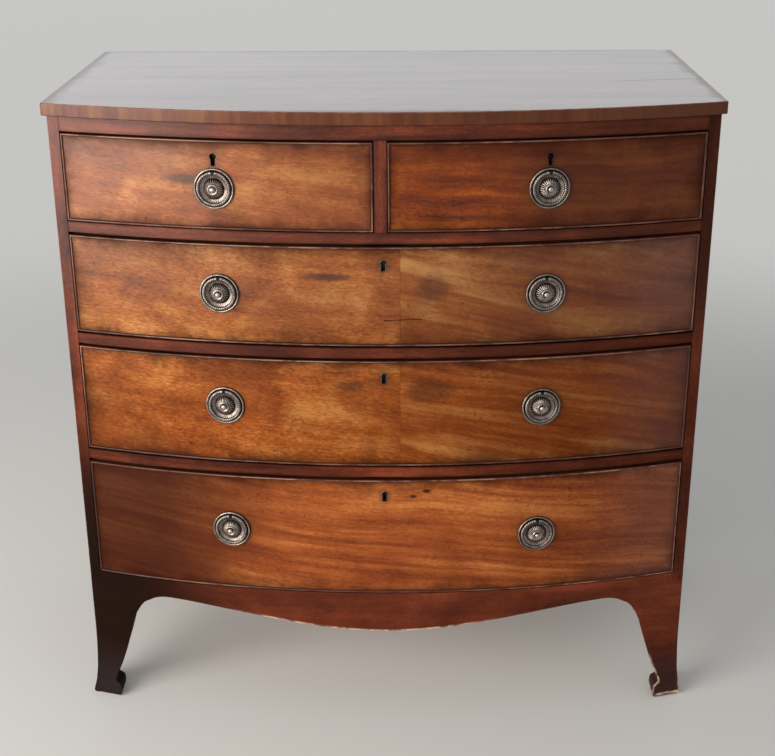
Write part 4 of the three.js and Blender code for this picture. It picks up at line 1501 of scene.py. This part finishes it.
@dataclass
class RingPull:
    """A stamped back plate with a fluted dome and a knob, and the ring that hangs in its groove."""

    plate_radius: float = 0.0307
    plate_thickness: float = 0.0016
    rim_width: float = 0.0034
    rim_height: float = 0.0034
    dome_base: float = 0.0160
    dome_top: float = 0.0078
    dome_height: float = 0.0086
    dome_belly: float = 0.0016
    dome_swell: float = 0.92
    dish_radius: float = 0.0212
    dish_height: float = 0.0031
    dish_leaves: int = 39
    dish_shares: tuple[float, ...] = (1.04, 1.0, 0.86, 0.7, 0.52, 0.34, 0.16, 0.0)
    dish_twist: float = 3.0
    flutes: int = 26
    flute_depth: float = 0.0015
    flute_steps: int = 12
    collar_radius: float = 0.0076
    collar_height: float = 0.0013
    knob_radius: float = 0.0043
    knob_neck: float = 0.0034
    knob_height: float = 0.005
    ring_radius: float = 0.0238
    ring_tube: float = 0.0023
    ring_sides: int = 18
    leaves: int = 44
    leaf_steps: int = 8
    leaf_slant: float = 0.075
    knuckle_share: float = 0.022
    flatness: float = 0.92
    lug_width: float = 0.0044
    lug_height: float = 0.0044
    lug_proud: float = 0.002
    lug_round_over: float = 0.0007
    lug_gap: float = 0.0006
    pin_radius: float = 0.001
    pin_length: float = 0.0068
    seat_gap: float = 0.0003
    post_radius: float = 0.0025
    nut_radius: float = 0.007
    nut_thickness: float = 0.004
    nut_edge: float = 0.0005

    @property
    def pivot_height(self) -> float:
        """How far the ring's pin lies in front of the plate's back."""
        return self.plate_thickness + self.seat_gap + self.ring_tube

    @property
    def ground(self) -> float:
        """How high the plate's flat ground is."""
        return self.plate_thickness - 0.0003

    def plate_profile(self) -> Rows:
        """Draws the plate, from its back's middle out and round to its front's middle.

        Returns:
            Radius and height of each point.
        """
        half = self.rim_width / 2
        middle, low = self.plate_radius - half, self.rim_height - half
        rows = [(0.0, 0.0), (self.plate_radius - 0.0004, 0.0), (self.plate_radius, 0.0006)]
        rows += [(middle + half * math.cos(angle), low + half * math.sin(angle)) for angle in spread(0.0, math.pi, 12)]
        rim_in = self.plate_radius - self.rim_width
        rows += [(rim_in, self.plate_thickness), (rim_in - 0.0012, self.ground),
                 (self.dish_radius + 0.0002, self.ground), (0.0, self.plate_thickness - 0.0006)]
        return rows

    def dome(self, form: Form) -> None:
        """Adds a leafy dish, and in it a dome of gadroons: rounded ridges with sharp valleys.

        Args:
            form: The plate that they are stamped in.
        """
        count = self.flutes * self.flute_steps
        turns = [FULL_TURN * step / count for step in range(count)]
        rings = [[self.dish_point(share, turn) for turn in turns] for share in self.dish_shares]
        for t in spread(0.0, 1.0, 12):
            radius = self.dome_base + t * (self.dome_top - self.dome_base) + 4 * self.dome_belly * t * (1 - t)
            height = self.plate_thickness - 0.0002 + (self.dome_height - self.plate_thickness) * t ** self.dome_swell
            depth = self.flute_depth * (1 - 0.55 * t)
            ring = []
            for angle in turns:
                valley = 1 - abs(math.sin(self.flutes * angle / 2))
                ring.append(round_about(radius - depth * valley, height - 0.5 * depth * valley, angle))
            rings.append(ring)
        form.loft(rings)

    def dish_leaf(self, share: float, angle: float) -> float:
        """How high a place on the dish lies between the valleys and ridges of its leaves, 0 to 1."""
        return abs(math.sin(self.dish_leaves * angle / 2 + self.dish_twist * share))

    def dish_point(self, share: float, angle: float) -> Vector:
        """Finds a place on the dish.

        Args:
            share: How far out it is, from 0 at the dome to 1 at the rim.
            angle: Where it is round the plate.

        Returns:
            The place.
        """
        inner = self.dome_base + 0.0001
        radius = inner + share * (self.dish_radius - inner)
        low, leaf = self.ground, self.dish_leaf(share, angle)
        height = low if share > 1.0 else low + (self.dish_height - low) * share ** 1.6 - 0.00045 * (1 - leaf) * share
        return round_about(radius, height, angle)

    def collar_profile(self) -> Rows:
        """Draws the collar ring and the knob inside it.

        Returns:
            Radius and height of each point.
        """
        low = self.dome_height - 0.0006
        top = self.dome_height + self.collar_height
        rows = [(0.0, low), (self.collar_radius, low), (self.collar_radius + 0.0003, top - 0.0006)]
        rows += [(self.collar_radius - 0.0007 + 0.0008 * math.cos(angle), top - 0.0005 + 0.0006 * math.sin(angle))
                 for angle in spread(0.0, math.pi, 6)]
        rows += [(self.knob_neck + 0.0004, top - 0.0012), (self.knob_neck, top - 0.0008)]
        knob_top = self.dome_height + self.knob_height
        rows += [(max(self.knob_radius * math.cos(angle), 0.0),
                  top + 0.0008 + (knob_top - top - 0.0008) * max(math.sin(angle), -0.4))
                 for angle in spread(-0.5, math.pi / 2, 9)]
        return rows

    def nut_profile(self) -> Rows:
        """Draws the post and the nut that hold the plate from behind.

        Returns:
            Radius and height of each point.
        """
        front = FRONT_THICKNESS + 3 * self.seat_gap
        back = front + self.nut_thickness
        return [(0.0, -back), (self.nut_radius - self.nut_edge, -back), (self.nut_radius, -back + self.nut_edge),
                (self.nut_radius, -front), (self.post_radius, -front), (self.post_radius, 0.0003), (0.0, 0.0003)]

    def lug(self) -> Form:
        """Shapes the lug at the top of the plate, which holds the ring's pin.

        Returns:
            The lug.
        """
        half, high = self.lug_width / 2, self.lug_height / 2
        form = Form()
        form.block((-half, -self.pivot_height - self.lug_proud, self.ring_radius - high),
                   (half, -self.ground, self.ring_radius + high))
        form.soften(self.lug_round_over, 2)
        return form

    def build_plate(self, node: str, body: str, seat: Matrix, material: Material) -> None:
        """Makes the plate with its dome, knob, lug, post and nut.

        Args:
            node: The solid that it stands for.
            body: The body that it moves with.
            seat: The pull's place on the drawer front.
            material: Its brass.
        """
        form = Form()
        form.turned(self.plate_profile(), 96)
        form.turned(self.collar_profile(), 48)
        self.dome(form)
        form.turned(self.nut_profile(), 6)
        form.take_in(self.lug())
        hollows = [self.hollow(vertex.co) for vertex in form.mesh.verts]
        form.move(seat @ Matrix.Translation((0, -self.seat_gap, 0)))
        piece = show(form, f"{node}_stamped", material, [node], body, sharp=50, flatten=False)
        paint(piece, "hollow", hollows)

    def hollow(self, place: Vector) -> float:
        """Tells how much dirt a place on the plate holds.

        Args:
            place: The place, before the plate is moved to its seat.

        Returns:
            A share from 0 on its ridges to 1 in its grooves.
        """
        radius, height, angle = math.hypot(place.x, place.z), -place.y, math.atan2(place.z, place.x)
        collar_top = self.dome_height + self.collar_height
        if radius > self.plate_radius - self.rim_width - 0.0001:
            edge = abs(radius - (self.plate_radius - self.rim_width / 2)) / (self.rim_width / 2)
            return 0.26 + 0.6 * max(0.0, edge - 0.6) / 0.4
        if radius > self.dome_base + 0.00005:
            share = (radius - self.dome_base) / (self.dish_radius - self.dome_base)
            leaf = self.dish_leaf(share, angle)
            return 0.85 if share > 1.01 or share < 0.1 else min(0.9, 0.2 + 0.5 * (1 - leaf))
        if radius > self.dome_base - self.flute_depth and height < self.plate_thickness + 0.001:
            return 0.8
        if radius > self.collar_radius + 0.0004:
            ridge = abs(math.sin(self.flutes * angle / 2))
            outer = (radius - self.dome_top) / (self.dome_base - self.dome_top)
            return min(1.0, 0.1 + 0.85 * (1 - ridge) ** 1.2 + 0.35 * outer ** 2)
        if radius > self.knob_radius + 0.0002:
            return 0.1 if height > collar_top - 0.0009 else 0.9
        return 0.85 if height < collar_top + 0.0004 else 0.05

    def ring_point(self, share: float, angle: float, turn: float) -> tuple[Vector, float]:
        """Finds a place on the ring, which is carved into leaves with a vein between two rows of them.

        Args:
            share: How far round the ring it is, from the lug and back to it.
            angle: The same as an angle about the plate's middle.
            turn: Where it is round the ring's tube.

        Returns:
            The place, and how much dirt it holds.
        """
        knuckle = min(1.0, 2 * max(0.0, 1 - min(share, 1 - share) / self.knuckle_share))
        across, up = math.cos(turn), math.sin(turn)
        leaf = abs(math.sin(self.leaves * (angle + self.leaf_slant * abs(across)) / 2))
        ornament = (1 - leaf) * max(up, 0.0) ** 0.5 * (1 - knuckle)
        vein = max(0.0, 1 - abs(across) / 0.16) * max(up, 0.0) * (1 - knuckle)
        scallop = (1 - leaf) * abs(across) ** 2
        tube = self.ring_tube * (1.02 - 0.2 * ornament - 0.12 * vein - 0.1 * scallop + 0.1 * knuckle)
        place = round_about(self.ring_radius + tube * across, self.pivot_height + self.flatness * tube * up, angle)
        return place, min(1.0, 0.15 + 0.6 * ornament + 0.45 * vein + 0.9 * max(0.0, 0.1 - up))

    def build_ring(self, node: str, body: str, seat: Matrix, material: Material) -> None:
        """Makes the ring, open where the lug is, and its pin.

        Args:
            node: The solid that it stands for.
            body: The body that it moves with.
            seat: The pull's place on the drawer front.
            material: Its brass.
        """
        gap = (self.lug_width / 2 + self.lug_gap) / self.ring_radius
        steps = self.leaves * self.leaf_steps
        rings, hollows = [], []
        for index in range(steps + 1):
            share = index / steps
            angle = math.pi / 2 + gap + (FULL_TURN - 2 * gap) * share
            points = [self.ring_point(share, angle, FULL_TURN * side / self.ring_sides)
                      for side in range(self.ring_sides)]
            rings.append([place for place, _ in points])
            hollows += [dirt for _, dirt in points]
        form = Form()
        form.loft(rings)
        pin, half = Form(), self.pin_length / 2
        pin.turned([(0.0, -half), (self.pin_radius, -half), (self.pin_radius, half), (0.0, half)], 12)
        pin.move(Matrix.Translation((0, -self.pivot_height, self.ring_radius)) @ Matrix.Rotation(math.pi / 2, 4, "Z"))
        form.take_in(pin)
        hollows += [0.5] * (len(form.mesh.verts) - len(hollows))
        form.move(seat @ Matrix.Translation((0, -self.seat_gap, 0)))
        piece = show(form, f"{node}_leafed", material, [node], body, sharp=60, flatten=False)
        paint(piece, "hollow", hollows)


@dataclass
class Keyhole:
    """A keyhole and the thin brass thread that lines it."""

    head_radius: float = 0.0038
    slot_width: float = 0.0046
    height: float = 0.0165
    lip: float = 0.0011
    # How dark the thread is: partly tarnish and partly painted shade inside the hole.
    tarnish_and_shade: float = 0.85
    proud: float = 0.0006
    depth: float = 0.006
    play: float = 0.0005
    cut_start: float = -0.01
    cut_length: float = 0.05

    def outline(self, grow: float, steps: int = 20) -> Rows:
        """Draws the keyhole as a loop with the same number of points at every size.

        Args:
            grow: How far outside the keyhole's edge the loop lies.
            steps: How finely the head is drawn.

        Returns:
            Points across and up, about the keyhole's middle.
        """
        radius, half = self.head_radius + grow, self.slot_width / 2 + grow
        middle = self.height / 2 - self.head_radius
        bottom = -self.height / 2 - grow
        start = math.asin(half / radius) - math.pi / 2
        return [(-half, bottom), (half, bottom), *((radius * math.cos(a), middle + radius * math.sin(a))
                                                   for a in spread(start, math.pi - start, steps))]

    def cutter(self, seat: Matrix) -> Form:
        """Shapes what cuts the keyhole through the drawer front.

        Args:
            seat: The keyhole's place.

        Returns:
            The tool.
        """
        form = Form()
        form.prism([Vector((x, self.cut_start, z)) for x, z in self.outline(self.play)],
                   Vector((0, self.cut_length, 0)))
        form.move(seat)
        return form

    def build(self, name: str, body: str, seat: Matrix, material: Material) -> None:
        """Makes the thread.

        Args:
            name: The piece's name.
            body: The body that it moves with.
            seat: The keyhole's place.
            material: Its brass.
        """
        section = ((0.0, self.depth), (0.0, -self.proud * 0.4), (0.0004, -self.proud), (self.lip * 0.6, -self.proud),
                   (self.lip, -0.0001), (self.lip, 0.0004), (0.0006, 0.0006), (0.0004, self.depth))
        form = Form()
        form.loft([[Vector((x, y, z)) for x, z in self.outline(grow)] for grow, y in section], meets_itself=True)
        form.move(seat)
        piece = show(form, name, material, body=body, sharp=40, flatten=False)
        # The thread is dark partly as tarnish and partly as painted shade, so that the keyhole reads black.
        paint(piece, "hollow", (self.tarnish_and_shade for _ in piece.data.vertices))


@dataclass(frozen=True)
class Leaf:
    """How the veneer of one drawer front is figured and marked."""

    finish: WoodFinish
    seed: float
    lean: float = 0.0
    seam: float | None = None
    # Stretches darkened as painted shade: start, end and depth.
    painted_shades: tuple[Point, ...] = ()
    stains: tuple[Stain, ...] = ()
    cracks: tuple[Crack, ...] = ()


@dataclass
class Drawer:
    """One drawer: bowed front, cockbead round it, and the fittings on it."""

    name: str
    row: str
    key_x: float
    pulls: tuple[tuple[str, float], ...]
    leaf: Leaf
    metal: Material
    bead_width: float = 0.0035
    bead_proud: float = 0.0018
    bead_depth: float = 0.008
    bead_seed: float = 20.0
    lining_thickness: float = 0.009
    tail_pitch: float = 0.046
    tail_neck: float = 0.25
    tail_end: float = 0.32
    tail_beyond: float = 0.005
    tail_past_end: float = 0.004
    key_drop: float = 0.029
    lock_width: float = 0.060
    lock_height: float = 0.042
    lock_depth: float = 0.013
    past: float = 0.01
    seam_half: float = 0.0006
    columns: int = 72

    def __post_init__(self) -> None:
        """Reads the front's size off its solid."""
        low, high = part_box(f"{self.name}_front")
        self.x0, self.x1, self.z0, self.z1 = low.x, high.x, low.z, high.z

    @property
    def long(self) -> bool:
        """Whether the drawer has a pull on each side of its keyhole."""
        return len(self.pulls) > 1

    @property
    def keyhole(self) -> Keyhole:
        """The keyhole, which is wider on a long drawer."""
        return Keyhole(slot_width=0.0062, lip=0.0014, tarnish_and_shade=0.45) if self.long else Keyhole()

    @property
    def key_seat(self) -> Matrix:
        """The keyhole's place."""
        return BOW.seat(self.key_x, self.z1 - self.key_drop)

    def pull_height(self, label: str) -> float:
        """The height of a pull's middle."""
        low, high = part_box(f"{self.name}_{label}_plate")
        return (low.z + high.z) / 2

    def veneer(self) -> Material:
        """Makes the mahogany leaf laid along the front, darker where dirt gathers near its edges, with painted shade
        across it, halos round the pulls that are partly dirt and partly painted shadow, and a painted grey-violet sheen
        near a long drawer's right end.

        Returns:
            The material.
        """
        leaf = self.leaf
        wood = WoodMaterial(f"veneer {self.name}", leaf.finish, Lay.FRONT, leaf.seed, leaf.lean)
        tree, across, seam = wood.tree, wood.axes[0], leaf.seam
        if seam is not None:
            wood.second_figure(Palette.streaked, tree.ramp(across, seam - self.seam_half, seam + self.seam_half), 0.12)
        wood.colour_up()
        if seam is not None:
            # The second leaf darkens towards the right, partly its own deeper tone and partly painted shade.
            wood.darken(tree.ramp(across, seam - 0.03, 0.24, 0.35, 0.95), Palette.ember, 0.74)
            wood.cracks(Crack((seam, self.z0), (seam, self.z1), 0.0009, 0.12))
        for reach, amount in ((0.036, 0.68), (0.011, 0.72)):
            wood.grime((self.x0, self.z0), (self.x1, self.z1), reach, amount)
        # Painted shade: each leaf darkened over a stretch of the front.
        for start, end, depth in leaf.painted_shades:
            wood.darken(tree.ramp(across, start, end), Palette.smoke, depth)
        # Painted reflection: a grey-violet sheen near a long drawer's right end.
        if self.long:
            wood.darken(tree.ramp(across, 0.3, 0.44), Palette.violet, 0.24)
        wood.pits(0.65)
        # The halos round the pulls are partly handling dirt and partly a painted shadow of the plates.
        wood.stains((*(Stain(x, self.pull_height(label), 0.042, 0.042, 0.45) for label, x in self.pulls),
                     Stain(self.key_x, self.z1 - self.key_drop, 0.014, 0.018, 0.4), *leaf.stains))
        wood.cracks(*leaf.cracks)
        return wood.finished()

    def run(self, inset: float, out: float, z: float) -> list[Vector]:
        """Points along the bow, from one end of the front to the other."""
        return [BOW.point(x, z, out) for x in spread(self.x0 + inset, self.x1 - inset, self.columns)]

    def runs(self, inset: float, out: float) -> tuple[list[Vector], list[Vector]]:
        """The lower and the upper run, so far inside the front's edges."""
        return self.run(inset, out, self.z0 + inset), self.run(inset, out, self.z1 - inset)

    def front(self) -> None:
        """Makes the bowed front, rebated for the bead, and cuts its keyhole, lock recess and sockets."""
        rebate, floor = self.bead_width + CASE.fit, -self.bead_depth - CASE.fit
        form = Form()
        form.sleeve([self.runs(*place) for place in ((rebate, 0.0), (rebate, floor), (0.0, floor),
                                                     (0.0, -FRONT_THICKNESS))])
        piece = show(form, f"{self.name}_bowed_front", self.veneer(), [f"{self.name}_front"], self.name)
        cut(piece, self.keyhole.cutter(self.key_seat), self.lock_recess(), self.sockets())
        piece.data.materials.append(Palette.plain(f"{self.name} ground", Palette.ground, Lay.FRONT, self.leaf.seed))
        for polygon in piece.data.polygons:
            middle = polygon.center
            if middle.y > BOW.y(middle.x) + self.bead_depth + 4 * CASE.fit:
                polygon.material_index = 1

    def lock_recess(self) -> Form:
        """Shapes the recess in the front's back that takes the lock.

        Returns:
            The recess.
        """
        half = self.lock_width / 2 + CASE.fit
        form = Form()
        form.block((-half, FRONT_THICKNESS - self.lock_depth - CASE.fit, -self.lock_height - CASE.fit),
                   (half, FRONT_THICKNESS + self.past, self.past))
        form.move(BOW.seat(self.key_x, self.z1))
        return form

    def sockets(self) -> Form:
        """Shapes where the tails of the drawer's sides go into the ends of its front.

        Returns:
            The sockets of both ends.
        """
        low, high = CASE.floors[self.row] + CASE.fit, CASE.ceilings[self.row] - CASE.lining_top_gap
        count = max(2, round((high - low) / self.tail_pitch))
        pitch = (high - low) / count
        neck, end = pitch * self.tail_neck + CASE.fit, pitch * self.tail_end + CASE.fit
        form = Form()
        for outer, outward in ((self.x0, -1.0), (self.x1, 1.0)):
            inner = outer - outward * self.lining_thickness
            tip = max(BOW.y(x, -self.bead_depth - CASE.fit) for x in (outer, inner)) + CASE.lap - CASE.fit
            shoulder = max(BOW.y(x, -FRONT_THICKNESS) for x in (outer, inner)) + CASE.fit
            mouth = neck - (end - neck) / (shoulder - tip) * self.tail_beyond
            start, stop = inner - outward * CASE.fit, outer + outward * self.tail_past_end
            for index in range(count):
                middle = low + (index + 0.5) * pitch
                outline = ((tip, middle - end), (shoulder + self.tail_beyond, middle - mouth),
                           (shoulder + self.tail_beyond, middle + mouth), (tip, middle + end))
                form.prism([Vector((start, y, z)) for y, z in outline], Vector((stop - start, 0, 0)))
        return form

    def bead_material(self) -> Material:
        """Makes the bead's polish, paler along its crest, partly rubbed through and partly a painted highlight, but not
        at the case's lower left, which is kept dark as painted shade.

        Returns:
            The material.
        """
        wood = WoodMaterial(f"cockbead {self.name}", Palette.bead, Lay.FRONT, self.leaf.seed + self.bead_seed)
        wood.colour_up()
        tree, (across, _, height) = wood.tree, wood.axes
        patchy = tree.ramp(tree.noise(wood.shifted, 2.6), 0.4, 0.6, 0.25, 1.0)
        # Painted shade: no pale crest at the case's lower left.
        low = tree.math("MULTIPLY", tree.fade(height, 0.42, 0.62), tree.fade(across, -0.46, -0.36))
        kept = tree.math("MULTIPLY", patchy, tree.math("SUBTRACT", 1.0, low))
        # The pale crest is partly worn polish and partly a painted highlight.
        wood.worn(tree.math("MULTIPLY", tree.attribute("crest"), kept), Palette.edge, 0.72, 22.0)
        return wood.finished()

    def cockbead(self) -> None:
        """Makes the thin strip let in all round the front, whose rounded nose stands proud of it."""
        nose = self.bead_width / 2
        section = [(0.0, -self.bead_depth, 0.0)]
        section += [(nose - nose * math.cos(turn), self.bead_proud - nose + nose * math.sin(turn),
                     max(0.0, math.sin(turn + 0.25)) ** 6) for turn in spread(0.0, math.pi, 8)]
        section.append((self.bead_width, -self.bead_depth, 0.0))
        rings, crest = [], []
        # The third value weights the pale crest, partly wear and partly a painted highlight.
        for inset, out, worn in section:
            low, high = self.runs(inset, out)
            rings.append(low + high[::-1])
            crest += [worn] * (len(low) + len(high))
        form = Form()
        form.loft(rings, meets_itself=True)
        piece = show(form, f"{self.name}_round_bead", self.bead_material(), [f"{self.name}_cockbead"], self.name,
                     flatten=False)
        paint(piece, "crest", crest)

    def build(self) -> None:
        """Makes the front, its bead, the keyhole's thread and the pulls."""
        self.front()
        self.cockbead()
        self.keyhole.build(f"{self.name}_key_thread", self.name, self.key_seat, self.metal)
        pull = RingPull()
        for label, x in self.pulls:
            seat = BOW.seat(x, self.pull_height(label))
            pull.build_plate(f"{self.name}_{label}_plate", self.name, seat, self.metal)
            pull.build_ring(f"{self.name}_{label}_ring", f"{self.name}_{label}_ring", seat, self.metal)


@dataclass
class Inside:
    """Gives the solids that stay, inside the case and behind it, their woods and metals."""

    housing: float = 0.010
    joint: Pair = (0.0006, 0.0018)

    def build(self) -> None:
        """Dresses the locks, linings, drawer bottoms and the back."""
        # The locks are coloured near black, partly as old iron and partly as painted shade, so that the keyholes read
        # dark.
        metal = MetalFinish(*colours("4c453a", "332d25", "17130f"), 0.5).material("dull lock metal")
        back = self.back_material()
        finishes = {
            ("_lock", "_lock_bolt"): metal,
            ("_lining",): Palette.plain("drawer side oak", Palette.lining, Lay.DEEP_SIDE, 31.0),
            ("_bottom",): Palette.plain("drawer bottom oak", Palette.lining, Lay.TOP, 32.0),
            ("back_panel",): back,
        }
        for name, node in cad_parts.items():
            for endings, material in finishes.items():
                if name.endswith(endings):
                    self.dress(node, material)

    def back_material(self) -> Material:
        """Makes pine boards side by side, each with its own tone, with dark dust in their joints.

        Returns:
            The material.
        """
        wood = WoodMaterial("back boards pine", Palette.pine, Lay.STILE, 30.0).colour_up()
        tree, across = wood.tree, wood.axes[0]
        half = CASE.half_width - self.housing
        for index, place in enumerate(spread(-half, half, BACK_BOARDS)[1:-1]):
            beyond = tree.math("GREATER_THAN", across, place)
            wood.darken(beyond, Palette.pine.dark if index % 2 == 0 else Palette.pine.light, 0.3)
            gap = tree.math("ABSOLUTE", tree.math("SUBTRACT", across, place))
            wood.darken(tree.fade(gap, *self.joint), Palette.grime, 0.85)
        wood.darken(tree.ramp(tree.noise(wood.place, 4.0, 4.0, 0.6), 0.45, 0.75), Palette.grime, 0.35)
        return wood.finished()

    def dress(self, node: Object, material: Material) -> None:
        """Gives all of a solid's slots one material."""
        for slot in node.material_slots:
            slot.material = material


# The studio


@dataclass(frozen=True)
class Lamp:
    """One soft rectangular light, aimed at a point."""

    name: str
    place: Point
    aim: Point
    size: Pair
    power: float
    shade: Colour

    def build(self) -> None:
        """Makes the light, which the camera doesn't see."""
        data = bpy.data.lights.new(self.name, "AREA")
        data.shape = "RECTANGLE"
        data.size, data.size_y = self.size
        data.energy = self.power
        data.color = self.shade[:3]
        made = bpy.data.objects.new(self.name, data)
        made.location = self.place
        made.rotation_mode = "QUATERNION"
        made.rotation_quaternion = (Vector(self.aim) - Vector(self.place)).to_track_quat("-Z", "Y")
        made.visible_camera = False
        bpy.context.scene.collection.objects.link(made)


@dataclass
class Studio:
    """Floor, background, lights and the camera at the photograph's viewing angle."""

    camera_place: Point = (0.0357, -2.2514, 1.4207)
    yaw: float = -0.872
    pitch: float = -22.010
    roll: float = -0.318
    lens: float = 64.657
    sensor: float = 36.0
    far: float = 200.0
    floor_shade: Colour = colour("d6d5d2")
    floor_black: Colour = (0.01, 0.01, 0.01, 1.0)
    floor_reach: float = 40.0
    floor_roughness: float = 0.8
    floor_gloss: float = 0.1
    haze_near: float = 0.10
    haze_far: float = 0.80
    stage_reach: Pair = (1.4, 3.0)
    world_shade: Colour = colour("eceff1")
    world_light: float = 0.45
    world_seen: float = 0.8
    mirrored_left: float = 1.3
    mirrored_right: float = 0.75
    lamps: tuple[Lamp, ...] = (
        Lamp("window_left", (-2.6, -2.4, 1.2), (-0.1, -0.2, 0.55), (2.6, 2.0), 152.0, colour("fffaf2")),
        Lamp("soft_front", (-0.4, -3.4, 2.8), (0.0, 0.0, 0.5), (2.0, 1.4), 13.0, colour("fff4e8")),
        Lamp("bright_wall", (0.0, 2.4, 1.75), (0.0, 0.0, 1.0), (5.0, 0.9), 3.0, colour("eef3f6")),
    )

    def camera(self) -> None:
        """Aims the camera by its heading, its tilt and its roll."""
        yaw, pitch, roll = (math.radians(angle) for angle in (self.yaw, self.pitch, self.roll))
        ahead = Vector((math.sin(yaw) * math.cos(pitch), math.cos(yaw) * math.cos(pitch), math.sin(pitch)))
        right = Vector((math.cos(yaw), -math.sin(yaw), 0.0))
        up = right.cross(ahead)
        right, up = (math.cos(roll) * right + math.sin(roll) * up, -math.sin(roll) * right + math.cos(roll) * up)
        data = bpy.data.cameras.new("camera")
        data.sensor_fit = "HORIZONTAL"
        data.sensor_width = self.sensor
        data.lens = self.lens
        data.clip_end = self.far
        made = bpy.data.objects.new("camera", data)
        turn = Matrix((right, up, -ahead)).transposed().to_4x4()
        made.matrix_world = Matrix.Translation(self.camera_place) @ turn
        bpy.context.scene.collection.objects.link(made)
        bpy.context.scene.camera = made

    def floor(self) -> None:
        """Makes the pale floor, which gives way to a glow of its own beyond the stage."""
        form = Form()
        bmesh.ops.create_grid(form.mesh, x_segments=1, y_segments=1, size=self.floor_reach)
        material = bpy.data.materials.new("pale floor")
        material.use_nodes = True
        tree = Tree(material.node_tree)
        shader = material.node_tree.nodes["Principled BSDF"]
        shader.inputs["Roughness"].default_value = self.floor_roughness
        shader.inputs["Specular IOR Level"].default_value = self.floor_gloss
        shader.inputs["Emission Color"].default_value = self.floor_shade
        away = tree.ramp(tree.vector("LENGTH", tree.object_place()), *self.stage_reach)
        tree.feed(shader.inputs["Base Color"], tree.blend(away, self.floor_shade, self.floor_black))
        glow = tree.between(away, self.haze_near, self.haze_far)
        tree.feed(shader.inputs["Emission Strength"], tree.math("MULTIPLY", glow, self.seen(tree)))
        form.to_object("pale_floor", material)

    def seen(self, tree: Tree) -> Socket:
        """Picks the rays that show the background: those of the camera, of gloss and of glass.

        Args:
            tree: The tree to do it in.

        Returns:
            White for those rays.
        """
        path = tree.add("ShaderNodeLightPath").outputs
        shown = tree.math("MAXIMUM", path["Is Camera Ray"], path["Is Glossy Ray"])
        return tree.math("MAXIMUM", shown, path["Is Transmission Ray"])

    def world(self) -> None:
        """Makes the pale background, which mirrors brighter on the left than on the right."""
        world = bpy.data.worlds.new("pale studio")
        world.use_nodes = True
        world.node_tree.nodes.clear()
        tree = Tree(world.node_tree)
        background = tree.add("ShaderNodeBackground")
        background.inputs["Color"].default_value = self.world_shade
        towards, _, _ = tree.split(tree.add("ShaderNodeTexCoord").outputs["Generated"])
        mirrored = tree.ramp(towards, -1.0, 1.0, self.mirrored_left * self.world_seen,
                             self.mirrored_right * self.world_seen)
        shown = tree.between(tree.add("ShaderNodeLightPath").outputs["Is Glossy Ray"], self.world_seen, mirrored)
        tree.feed(background.inputs["Strength"], tree.between(self.seen(tree), self.world_light, shown))
        output = tree.add("ShaderNodeOutputWorld")
        tree.feed(output.inputs["Surface"], background.outputs[0])
        bpy.context.scene.world = world

    def build(self) -> None:
        """Sets up the view, then makes the camera, the floor, the background and the lights."""
        bpy.context.scene.view_settings.view_transform = "Standard"
        self.camera()
        self.floor()
        self.world()
        for lamp in self.lamps:
            lamp.build()


def drawer_leaves() -> dict[str, Leaf]:
    """Describes the veneer of each drawer front.

    Returns:
        The leaf for each drawer's name.
    """
    seam = 0.0252
    dark, middle, light = colours("6e3116", "9a5024", "c2773f")
    ribboned = replace(Palette.streaked, dark=dark, middle=middle, light=light)
    dark, middle, light = colours("5c280d", "994f1b", "c38347")
    calm = replace(Palette.veneer, dark=dark, middle=middle, light=light, mottle=0.9, fleck=0.6)
    middle, light = colours("b06426", "d89b5a")
    pale = replace(Palette.veneer, middle=middle, light=light, patina=0.5)
    return {
        "drawer_short_left": Leaf(calm, 1.0, 0.1, painted_shades=((-0.32, 0.0, 0.3),),
                                  stains=(Stain(-0.292, 0.927, 0.042, 0.011, 0.75),)),
        "drawer_short_right": Leaf(Palette.streaked, 2.6, 0.05, painted_shades=((0.13, 0.27, 0.75),)),
        "drawer_upper": Leaf(pale, 3.7, 0.08, seam, ((0.0, 0.07, 0.14),),
                             (Stain(-0.085, 0.782, 0.055, 0.009, 0.7), Stain(0.075, 0.767, 0.034, 0.03, 0.5)),
                             (Crack((0.001, 0.714), (0.057, 0.716)),)),
        "drawer_middle": Leaf(Palette.veneer, 5.2, 0.1, seam, (),
                              (Stain(-0.05, 0.607, 0.035, 0.012, 0.5), Stain(0.07, 0.60, 0.05, 0.03, 0.5))),
        "drawer_bottom": Leaf(ribboned, 6.4, 0.12, None, ((-0.12, -0.38, 0.9), (0.12, 0.32, 0.3)),
                              (Stain(0.0665, 0.427, 0.010, 0.005, 0.9), Stain(0.0456, 0.418, 0.008, 0.004, 0.9))),
    }


def build_drawers() -> None:
    """Makes the five drawers, each with its own veneer."""
    brass = MetalFinish(*colours("b5a99f", "6b605a", "261d18"), 0.33).material("old stamped brass")
    leaves = drawer_leaves()
    pair = (("left_pull", LEFT_PULL), ("right_pull", RIGHT_PULL))
    places = {"drawer_short_left": ("top", LEFT_PULL, (("pull", LEFT_PULL),)),
              "drawer_short_right": ("top", RIGHT_PULL, (("pull", RIGHT_PULL),)),
              "drawer_upper": ("upper", 0.0, pair), "drawer_middle": ("middle", 0.0, pair),
              "drawer_bottom": ("bottom", 0.0, pair)}
    for name, (row, key_x, pulls) in places.items():
        log.info("building %s", name)
        Drawer(name, row, key_x, pulls, leaves[name], brass).build()


def main() -> None:
    """Builds the whole scene."""
    log.info("building the studio")
    Studio().build()
    log.info("building the carcase")
    TopBoard().build()
    base = base_veneer()
    for side in (-1, 1):
        SideBoard(side).build()
        for front in (True, False):
            BracketFoot(side, front, base).build()
    Rails().build()
    Base(base).build()
    build_drawers()
    log.info("dressing the inside")
    Inside().build()


if __name__ == "__main__":
    main()
